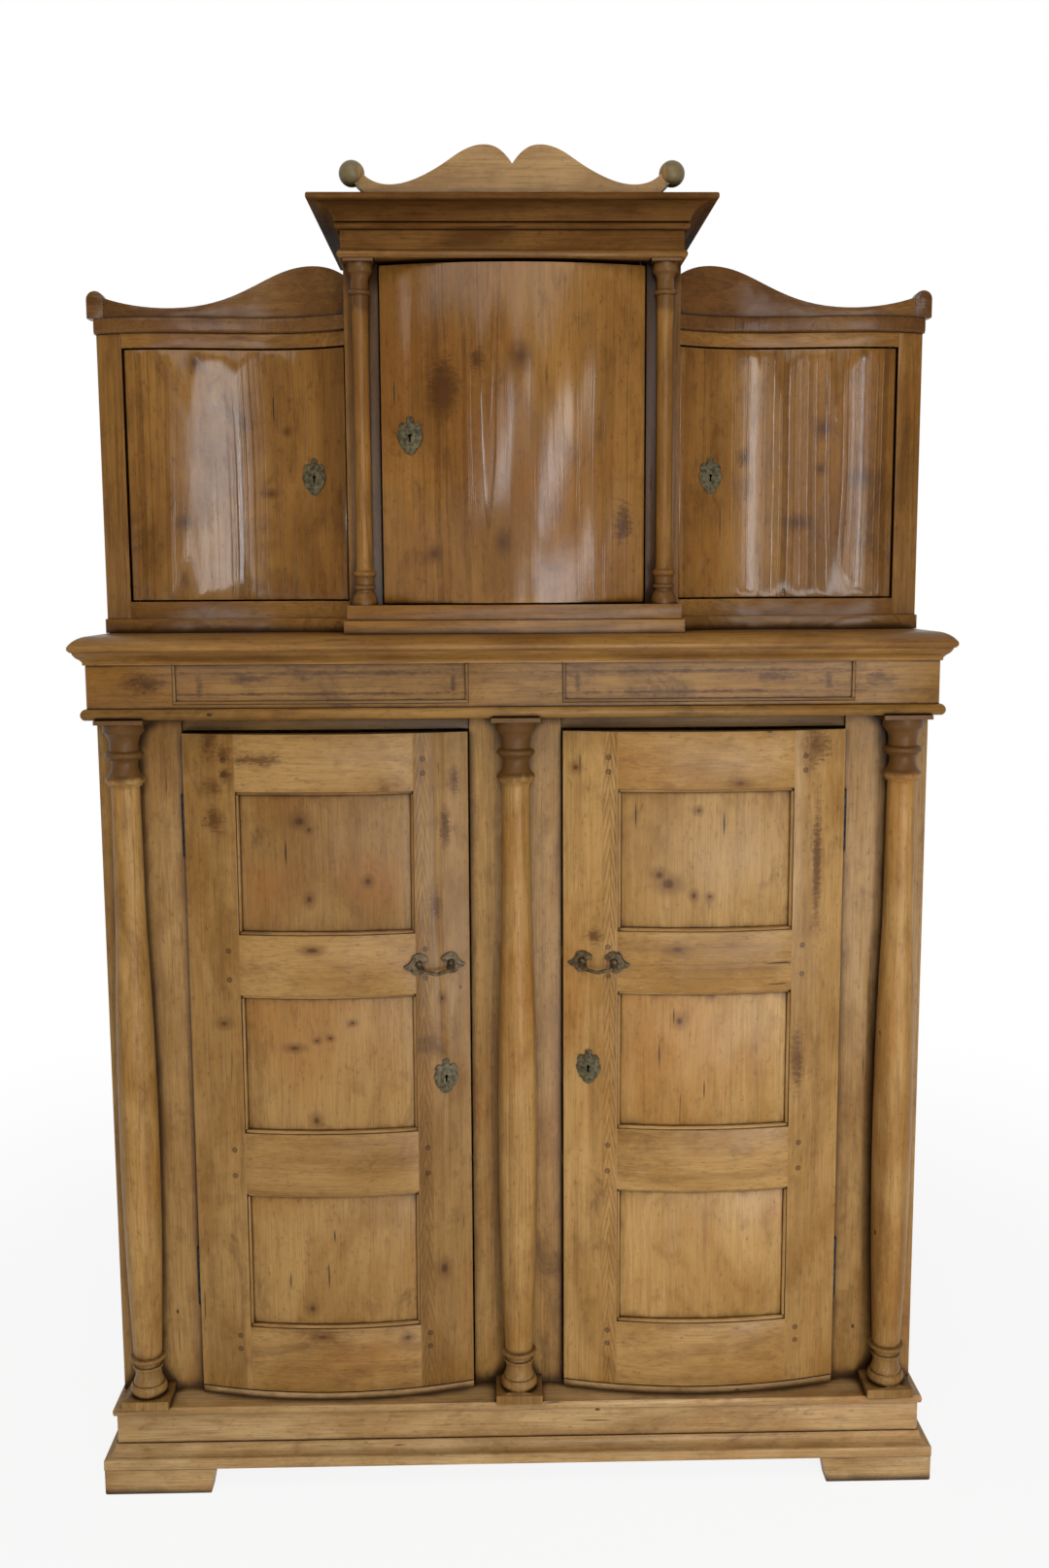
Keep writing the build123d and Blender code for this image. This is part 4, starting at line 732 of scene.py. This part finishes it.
wooden("frieze_beads", wood_frieze, tone=0.15, bevel=0.001)
wooden("lower_cornice", wood_top, bevel=0.0003)
wooden("lower_top", wood_top, X, Z, tone=0.6, bevel=0.0006)
for n in ("lower_uprights", "lower_back", "upper_uprights", "upper_back"):
    wooden(n, wood_inside if "back" in n else wood_low, Z)
for n in ("lower_shelves", "upper_shelves", "upper_floor"):
    wooden(n, wood_inside)
for n in ("wing_posts", "centre_pilasters"):
    wooden(n, wood_upper, Z, Y)
wooden("upper_columns", wood_upper_column, Z, Y, bevel=0)
for n in ("wing_rails", "wing_base_mouldings", "centre_steps", "upper_soffit"):
    wooden(n, wood_upper, bevel=0.0006)
wooden("wing_tops", wood_crest, tone=0.7, bevel=0.0006)
for n in ("entablature", "upper_cornice", "upper_slab"):
    wooden(n, wood_crown, bevel=0.0006)
wooden("wing_crests", wood_crest, X, Y, tone=0.8, bevel=0.0015)
wooden("pediment", wood_pale, X, Y, bevel=0.001)
for door in UPPER_DOORS:
    wooden(f"{door}_board", wood_upper_door, Z, Y, bevel=0.001, flat=1.0)

METAL_BEVEL = 0.0004
for door in LOWER_DOORS + UPPER_DOORS:
    for kind, metal in (("escutcheon", brass), ("lock_case", iron), ("lock_bolt", iron),
                        ("pull", bronze), ("hinge_halves", iron)):
        if f"{door}_{kind}" in NODES:
            rebuild(f"{door}_{kind}", metal, METAL_BEVEL)
for n in ("hinge_frame_halves", "pivot_pins"):
    rebuild(n, iron, METAL_BEVEL)


# ---------------------------------------------------------------- floor, lights and camera
def seen_white(s):
    """1 for the rays that see the white background: all that come from the camera, and those
    mirrored or passed on to nearly any place on the floor or to the world on the +Y side. The room
    in front of the object is dimmer, so that polish shows the windows and not a white veil."""
    path = s.node("LightPath").outputs
    place = s.node("TexCoord").outputs["Generated"]
    back = s.node("SeparateXYZ", None, Vector=place).outputs[Y]
    mirrored = s.math("MAXIMUM", path["Is Glossy Ray"], path["Is Transmission Ray"])
    mirrored = s.math("MULTIPLY", mirrored, s.math("GREATER_THAN", back, 0.05))
    return s.math("MAXIMUM", path["Is Camera Ray"], mirrored)


FLOOR_HALF = 14.0
FOCAL_PIXELS, PHOTO_PIXELS = 1581, 1615   # the fitted focal length and the height of the photo


def white_floor():
    """A wide pale floor. The camera sees it white, apart from 12 percent of its shading near the
    object, which fades out 3 m away."""
    me = bpy.data.meshes.new("floor")
    bm = bmesh.new()
    bmesh.ops.create_grid(bm, x_segments=1, y_segments=1, size=FLOOR_HALF)
    bm.to_mesh(me)
    bm.free()
    o = add_object("floor", me)
    s = Surface("floor_white")
    s.put(s.bsdf.inputs["Base Color"], (0.80, 0.80, 0.80))
    s.put(s.bsdf.inputs["Roughness"], 0.9)
    s.put(s.bsdf.inputs["Specular IOR Level"], 0.0)
    glow = s.node("Emission", None, Color=(1, 1, 1), Strength=1.0).outputs[0]
    away = s.vmath("LENGTH", s.node("TexCoord").outputs["Object"])
    share = s.math("MULTIPLY", seen_white(s), s.span(away, 0.8, 3.0, 0.88, 1.0))
    s.put(s.out.inputs[0], s.mix_shaders(share, s.bsdf.outputs[0], glow))
    me.materials.append(s.mat)


def white_world():
    """A soft, slightly warm light from all round, in front of a white background."""
    world = bpy.data.worlds.new("studio")
    world.use_nodes = True
    s = Tree(world.node_tree)
    room = s.node("Background", None, Color=(1.0, 0.985, 0.96), Strength=0.26).outputs[0]
    white = s.node("Background", None, Color=(1, 1, 1), Strength=1.0).outputs[0]
    out = s.node("OutputWorld")
    s.put(out.inputs[0], s.mix_shaders(seen_white(s), room, white))
    bpy.context.scene.world = world


def lamp(name, loc, aim, size, power, colour):
    """A rectangular lamp of this width and height, turned towards aim."""
    d = bpy.data.lights.new(name, "AREA")
    d.shape = "RECTANGLE"
    d.size, d.size_y = size
    d.energy = power
    d.color = colour
    o = add_object(name, d)
    o.location = loc
    o.rotation_mode = "QUATERNION"
    o.rotation_quaternion = (Vector(aim) - Vector(loc)).to_track_quat("-Z", "Y")


def photo_camera():
    """The camera as it was fitted to the photo."""
    d = bpy.data.cameras.new("camera")
    d.sensor_fit = "AUTO"
    d.sensor_width = 36
    d.lens = d.sensor_width * FOCAL_PIXELS / PHOTO_PIXELS
    o = add_object("camera", d)
    o.location = (-0.042, -2.7675, 1.574)
    o.rotation_euler = (math.pi / 2 - 0.1337, 0.005, -0.023)
    bpy.context.scene.camera = o


COOL, WARM = (0.94, 0.97, 1.0), (1.0, 0.97, 0.93)
white_floor()
white_world()
lamp("window_left", (-0.30, -8.0, 2.1), (0.0, -0.2, 1.6), (0.26, 3.8), 140, COOL)
lamp("window_right", (2.25, -8.0, 2.0), (0.0, -0.2, 1.5), (0.36, 3.7), 160, COOL)
lamp("soft_right", (1.2, -2.8, 0.5), (0.35, -0.2, 0.45), (1.0, 0.8), 30, COOL)
lamp("soft_top", (-0.8, -3.0, 4.4), (0.0, 0.0, 1.0), (3.0, 1.8), 62, WARM)
photo_camera()

bpy.context.scene.view_settings.view_transform = "Standard"
